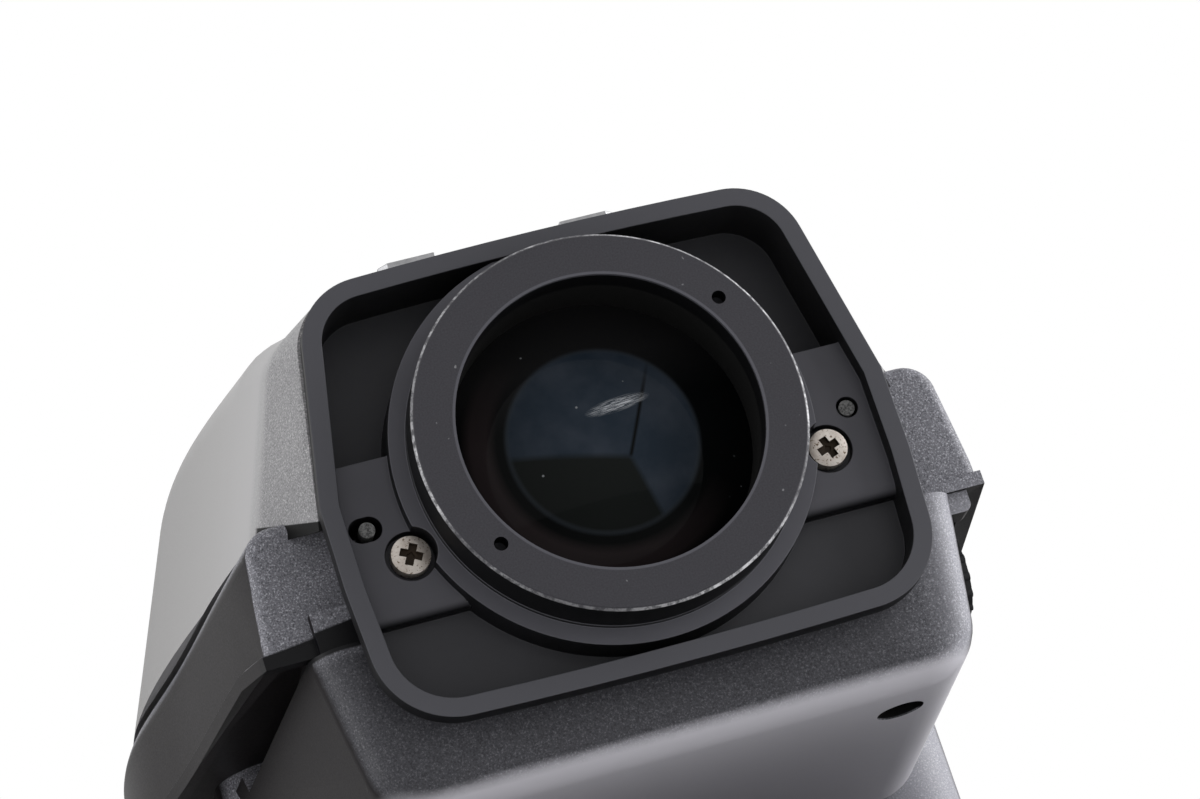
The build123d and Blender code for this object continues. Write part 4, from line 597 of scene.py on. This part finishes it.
def smaller_knob(point):
    """The dioptre knob, drawn in towards its axis and its seat."""
    axis_y, axis_z, seat_x = 50 * MM, 110 * MM, -30.6 * MM
    across, inward = 0.86, 0.4
    return Vector((point.x - inward * min(0.0, point.x - seat_x),
                   axis_y + (point.y - axis_y) * across, axis_z + (point.z - axis_z) * across))


MOVES = {"finder_housing": lower_lip, "finder_cover": lower_crease, "dioptre_knob": smaller_knob}


def move_points(mesh, name):
    """Apply a piece's rule to its mesh, where it has one."""
    if name in MOVES:
        for vert in mesh.verts:
            vert.co = MOVES[name](vert.co)


def reshaped(name):
    """A copy of a CAD node with its points moved, that stands for it."""
    sharp = radians(32)
    piece, mesh = merged_copy(name)
    move_points(mesh, name)
    put_back(mesh, piece, sharp)
    show_for(piece, name)
    return piece


def edge_rounded(name, width):
    """A copy of a CAD node, its coplanar facets merged and its edges rounded, that stands for it."""
    coplanar, sharp, segments = radians(0.4), radians(28), 2
    piece, mesh = merged_copy(name)
    bmesh.ops.dissolve_limit(mesh, angle_limit=coplanar, verts=mesh.verts, edges=mesh.edges)
    move_points(mesh, name)
    put_back(mesh, piece, sharp)
    edges = piece.modifiers.new("edges", "BEVEL")
    edges.width = width
    edges.segments = segments
    edges.limit_method = "ANGLE"
    edges.angle_limit = sharp
    # moved points leave short edges, at which an unclamped rounding would spike
    edges.use_clamp_overlap = name in MOVES
    edges.harden_normals = True
    show_for(piece, name)
    return piece


# Screw heads: one head with its cross recess, set on the places of a CAD node's screws

def islands(name):
    """The lowest and highest corner of each separate solid in a CAD node."""
    mesh = bmesh.new()
    mesh.from_mesh(frame["nodes"][name].data)
    bmesh.ops.remove_doubles(mesh, verts=mesh.verts, dist=WELD)
    left = set(mesh.verts)
    boxes = []
    while left:
        reached = [left.pop()]
        corners = []
        while reached:
            vert = reached.pop()
            corners.append(vert.co.copy())
            for edge in vert.link_edges:
                other = edge.other_vert(vert)
                if other in left:
                    left.remove(other)
                    reached.append(other)
        low = Vector([min(corner[k] for corner in corners) for k in range(3)])
        high = Vector([max(corner[k] for corner in corners) for k in range(3)])
        boxes.append((low, high))
    mesh.free()
    return sorted(boxes, key=lambda box: tuple(round(value, 5) for value in box[0]))


def screw_tree():
    """Heads on points: a low dome with a cross recess, turned at random about its own axis."""
    tree = bpy.data.node_groups.new("screw_heads", "GeometryNodeTree")
    sockets = (("Geometry", "NodeSocketGeometry", None), ("Radius", "NodeSocketFloat", 1.8 * MM),
               ("Height", "NodeSocketFloat", 1.2 * MM), ("Dome", "NodeSocketFloat", 0.22 * MM),
               ("Direction", "NodeSocketVector", (0.0, 0.0, 0.0)), ("Turn", "NodeSocketFloat", 0.0),
               ("Seed", "NodeSocketInt", 3), ("Head", "NodeSocketMaterial", None),
               ("Recess", "NodeSocketMaterial", None))
    for name, kind, value in sockets:
        made = tree.interface.new_socket(name, in_out="INPUT", socket_type=kind)
        if value is not None:
            made.default_value = value
    tree.interface.new_socket("Geometry", in_out="OUTPUT", socket_type="NodeSocketGeometry")
    given = tree.nodes.new("NodeGroupInput").outputs
    radius, height, dome = given["Radius"], given["Height"], given["Dome"]

    def of_radius(share):
        return math_node(tree, "MULTIPLY", radius, share)

    def of_height(share):
        return math_node(tree, "MULTIPLY", height, share)

    # the head: a disc just below its point, bent down towards its edge by the dome's height
    dome_power = 2.6
    disc = add_node(tree, "GeometryNodeMeshCylinder", {
        "Vertices": 48, "Side Segments": 2, "Fill Segments": 8, "Radius": radius, "Depth": height})
    spot = apart(tree, add_node(tree, "GeometryNodeInputPosition").outputs[0])
    flat = add_node(tree, "ShaderNodeCombineXYZ", {"X": spot["X"], "Y": spot["Y"]}).outputs[0]
    share = math_node(tree, "DIVIDE", vector_node(tree, "LENGTH", flat).outputs["Value"], radius)
    fall = math_node(tree, "MULTIPLY", math_node(tree, "POWER", share, dome_power), dome)
    sink = math_node(tree, "SUBTRACT", math_node(tree, "MULTIPLY", fall, -1.0), of_height(0.5))
    move = add_node(tree, "ShaderNodeCombineXYZ", {"Z": sink}).outputs[0]
    domed = add_node(tree, "GeometryNodeSetPosition", {"Geometry": disc.outputs["Mesh"], "Offset": move})
    head = add_node(tree, "GeometryNodeSetMaterial", {
        "Geometry": domed.outputs[0], "Material": given["Head"]})

    # the cross recess: two bars and a square cone between them
    bar_length, bar_width, bar_depth = 1.16, 0.42, 0.9
    cone_top, cone_bottom, cone_depth, cone_drop = 0.38, 0.2, 0.7, -0.6
    bars = add_node(tree, "GeometryNodeJoinGeometry")
    for along_x in (True, False):
        long, wide, deep = of_radius(bar_length), of_radius(bar_width), of_height(bar_depth)
        size = (long, wide, deep) if along_x else (wide, long, deep)
        bar = add_node(tree, "GeometryNodeMeshCube", {
            "Size": add_node(tree, "ShaderNodeCombineXYZ", dict(zip("XYZ", size))).outputs[0]})
        tree.links.new(bar.outputs["Mesh"], bars.inputs[0])
    cutter = add_node(tree, "GeometryNodeSetMaterial", {
        "Geometry": bars.outputs[0], "Material": given["Recess"]})
    cone = add_node(tree, "GeometryNodeMeshCone", {
        "Vertices": 4, "Radius Top": of_radius(cone_top), "Radius Bottom": of_radius(cone_bottom),
        "Depth": of_height(cone_depth)})
    cone_place = add_node(tree, "ShaderNodeCombineXYZ", {"Z": of_height(cone_drop)}).outputs[0]
    cone_set = add_node(tree, "GeometryNodeTransform", {
        "Geometry": cone.outputs["Mesh"], "Translation": cone_place})
    cone_head = add_node(tree, "GeometryNodeSetMaterial", {
        "Geometry": cone_set.outputs[0], "Material": given["Recess"]})
    cut = add_node(tree, "GeometryNodeMeshBoolean", {"Mesh 1": head.outputs[0]}, operation="DIFFERENCE",
                   solver="EXACT")
    for piece in (cutter, cone_head):
        tree.links.new(piece.outputs[0], cut.inputs["Mesh 2"])

    # one head on each point, turned by chance
    chance = add_node(tree, "FunctionNodeRandomValue", {"Min": 0.0, "Max": pi / 2, "Seed": given["Seed"]})
    angle = math_node(tree, "ADD", chance.outputs["Value"], given["Turn"])
    own_turn = add_node(tree, "ShaderNodeCombineXYZ", {"Z": angle}).outputs[0]
    set_out = add_node(tree, "GeometryNodeInstanceOnPoints", {
        "Points": given["Geometry"], "Instance": cut.outputs["Mesh"], "Rotation": given["Direction"]})
    turned = add_node(tree, "GeometryNodeRotateInstances", {
        "Instances": set_out.outputs[0], "Rotation": own_turn, "Local Space": True})
    real = add_node(tree, "GeometryNodeRealizeInstances", {"Geometry": turned.outputs[0]})
    is_recess = add_node(tree, "GeometryNodeMaterialSelection", {"Material": given["Recess"]}).outputs[0]
    not_recess = add_node(tree, "FunctionNodeBooleanMath", {0: is_recess}, operation="NOT").outputs[0]
    last = add_node(tree, "GeometryNodeSetMaterial", {
        "Geometry": real.outputs[0], "Selection": not_recess, "Material": given["Head"]})
    add_node(tree, "NodeGroupOutput", {"Geometry": last.outputs[0]})
    return tree


def bake(piece):
    """Work the piece's modifiers into a plain mesh."""
    graph = bpy.context.evaluated_depsgraph_get()
    mesh = bpy.data.meshes.new_from_object(piece.evaluated_get(graph))
    piece.modifiers.clear()
    piece.data = mesh


SCREW_TREE = screw_tree()


def screw_heads(name, axis, head, recess, seed):
    """The screws of one CAD node as domed heads that face along an axis (1 to 3, minus for backwards)."""
    head_height, dome_share, turn = 1.2 * MM, 0.12, radians(62)
    along = abs(axis) - 1
    boxes = islands(name)
    low, high = boxes[-1]
    radius = max(high[k] - low[k] for k in range(3) if k != along) / 2
    spots = []
    for low, high in boxes:
        middle = (low + high) / 2
        middle[along] = high[along] if axis > 0 else low[along]
        spots.append(middle)
    mesh = bpy.data.meshes.new(name + "_heads")
    mesh.from_pydata(spots, [], [])
    piece = bpy.data.objects.new(name + "_heads", mesh)
    scene.collection.objects.link(piece)
    direction = Vector([0, 0, 0])
    direction[along] = 1 if axis > 0 else -1
    values = {
        "Radius": radius, "Height": head_height, "Dome": dome_share * radius,
        "Direction": tuple(direction.to_track_quat("Z", "Y").to_euler()), "Turn": turn, "Seed": seed,
        "Head": head, "Recess": recess,
    }
    heads = piece.modifiers.new("heads", "NODES")
    heads.node_group = SCREW_TREE
    for item in SCREW_TREE.interface.items_tree:
        if item.in_out == "INPUT" and item.name in values:
            heads[item.identifier] = values[item.name]
    bake(piece)
    for face in piece.data.polygons:
        face.use_smooth = False
    show_for(piece, name)


# What each node is shown by: its rounding's width, or its screws' axis, finishes and random seed

FINISH_OF = {row["node"]: row["material_slot"] for row in frame["record"]["subparts"]}
ROUNDED = {
    "eyepiece_frame": 0.1 * MM,
    "finder_housing": 0.15 * MM,
    "body_shell": 0.3 * MM,
    "grip_shell": 0.3 * MM,
    "back_housing": 0.4 * MM,
    "hot_shoe": 0.12 * MM,
    "base_plate": 0.2 * MM,
    "back_latch": 0.3 * MM,
    "card_door": 0.15 * MM,
    "power_collar": 0.25 * MM,
}
SCREWS = {
    "frame_screws": (2, FINISH["nickel"], EXTRA_FINISH["recess_brown"], 5),
    "mount_screws": (-2, FINISH["steel"], EXTRA_FINISH["dark_steel"], 8),
    "base_screws": (-3, EXTRA_FINISH["dark_steel"], FINISH["inner_black"], 13),
    "housing_screws": (-3, EXTRA_FINISH["dark_steel"], FINISH["inner_black"], 21),
}


def eye_lens_piece():
    """The eye lens as a domed glass in its seat."""
    edge_radius, rim_y, crown = 14 * MM, 64.5 * MM, 3 * MM
    front_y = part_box("eye_lens")[0][1]
    rings, around = 22, 96
    mesh = bmesh.new()

    def circle(radius, y):
        turns = [2 * pi * k / around for k in range(around)]
        return [mesh.verts.new((radius * cos(turn), y, EYE.z + radius * sin(turn))) for turn in turns]

    rows = []
    for ring in range(1, rings + 1):
        share = ring / rings
        rows.append(circle(edge_radius * share, rim_y + crown * (1 - share ** 2)))
    rows.append(circle(edge_radius, front_y))
    rear_point = mesh.verts.new((0, rim_y + crown, EYE.z))
    front_point = mesh.verts.new((0, front_y, EYE.z))
    for k in range(around):
        after = (k + 1) % around
        mesh.faces.new((rear_point, rows[0][k], rows[0][after]))
        for inner, outer in zip(rows, rows[1:]):
            mesh.faces.new((inner[k], outer[k], outer[after], inner[after]))
        mesh.faces.new((front_point, rows[-1][after], rows[-1][k]))
    bmesh.ops.recalc_face_normals(mesh, faces=mesh.faces)
    shade_by_angle(mesh, radians(40))
    data = bpy.data.meshes.new("eye_lens_piece")
    mesh.to_mesh(data)
    mesh.free()
    data.materials.append(EXTRA_FINISH["eye_glass"])
    piece = bpy.data.objects.new("eye_lens_piece", data)
    scene.collection.objects.link(piece)
    show_for(piece, "eye_lens")


for name, node in frame["nodes"].items():
    if name in ROUNDED:
        dress(edge_rounded(name, ROUNDED[name]), FINISH_OF[name])
    elif name in MOVES:
        dress(reshaped(name), FINISH_OF[name])
    elif name in SCREWS:
        screw_heads(name, *SCREWS[name])
        dress(node, FINISH_OF[name])
    else:
        dress(node, FINISH_OF[name])
eye_lens_piece()


# Floor, light and camera

def studio():
    """A pale floor, a soft white world, and that world at full white where a ray sees it."""
    floor_half, floor_grey = 3.0, (0.82, 0.82, 0.82)
    soft_strength, white_strength = 0.45, 1.0
    corners = [(x * floor_half, y * floor_half, 0) for x, y in ((-1, -1), (1, -1), (1, 1), (-1, 1))]
    floor_mesh = bpy.data.meshes.new("floor")
    floor_mesh.from_pydata(corners, [], [(0, 1, 2, 3)])
    floor = bpy.data.objects.new("floor", floor_mesh)
    scene.collection.objects.link(floor)
    floor_mesh.materials.append(new_finish("floor_pale", floor_grey, 0.7)[0])

    world = bpy.data.worlds.new("studio")
    scene.world = world
    world.use_nodes = True
    tree = world.node_tree
    tree.nodes.clear()
    ray = add_node(tree, "ShaderNodeLightPath")
    seen = math_node(tree, "MAXIMUM", ray.outputs["Is Camera Ray"], ray.outputs["Is Glossy Ray"])
    seen = math_node(tree, "MAXIMUM", seen, ray.outputs["Is Transmission Ray"])
    white = (1.0, 1.0, 1.0, 1.0)
    lighting = add_node(tree, "ShaderNodeBackground", {"Color": white, "Strength": soft_strength})
    shown = add_node(tree, "ShaderNodeBackground", {"Color": white, "Strength": white_strength})
    both = add_node(tree, "ShaderNodeMixShader", {0: seen, 1: lighting.outputs[0], 2: shown.outputs[0]})
    add_node(tree, "ShaderNodeOutputWorld", {"Surface": both.outputs[0]})


def softbox(name, place, aim, width, power):
    """A square area lamp that faces a point, its width in metres and its power in watts."""
    lamp = bpy.data.lights.new(name, "AREA")
    lamp.shape = "SQUARE"
    lamp.size = width
    lamp.energy = power
    made = bpy.data.objects.new(name, lamp)
    scene.collection.objects.link(made)
    made.location = place
    made.rotation_euler = (Vector(aim) - Vector(place)).to_track_quat("-Z", "Y").to_euler()


def photo_camera():
    """The photograph's view, solved from the ring's circles, screws and pins: low behind and looking up."""
    data = bpy.data.cameras.new("camera")
    data.lens = 133.32          # millimetres
    data.sensor_width = 36.0    # millimetres
    data.clip_start = 0.01
    camera = bpy.data.objects.new("camera", data)
    scene.collection.objects.link(camera)
    right = Vector((-0.94438, 0.13183, -0.30127))
    up = Vector((-0.23764, 0.35969, 0.90230))
    back = Vector((0.22732, 0.92371, -0.30836))
    turn = Matrix((right, up, back)).transposed().to_4x4()
    camera.matrix_world = Matrix.Translation((0.09064, 0.43850, 0.00566)) @ turn
    scene.camera = camera


studio()
softbox("left", (0.7, 0.12, 0.35), EYE, width=0.6, power=2.8)
softbox("right", (-0.7, 0.18, 0.3), EYE, width=0.6, power=6.5)
photo_camera()
scene.view_settings.view_transform = "Standard"

bpy.context.view_layer.update()
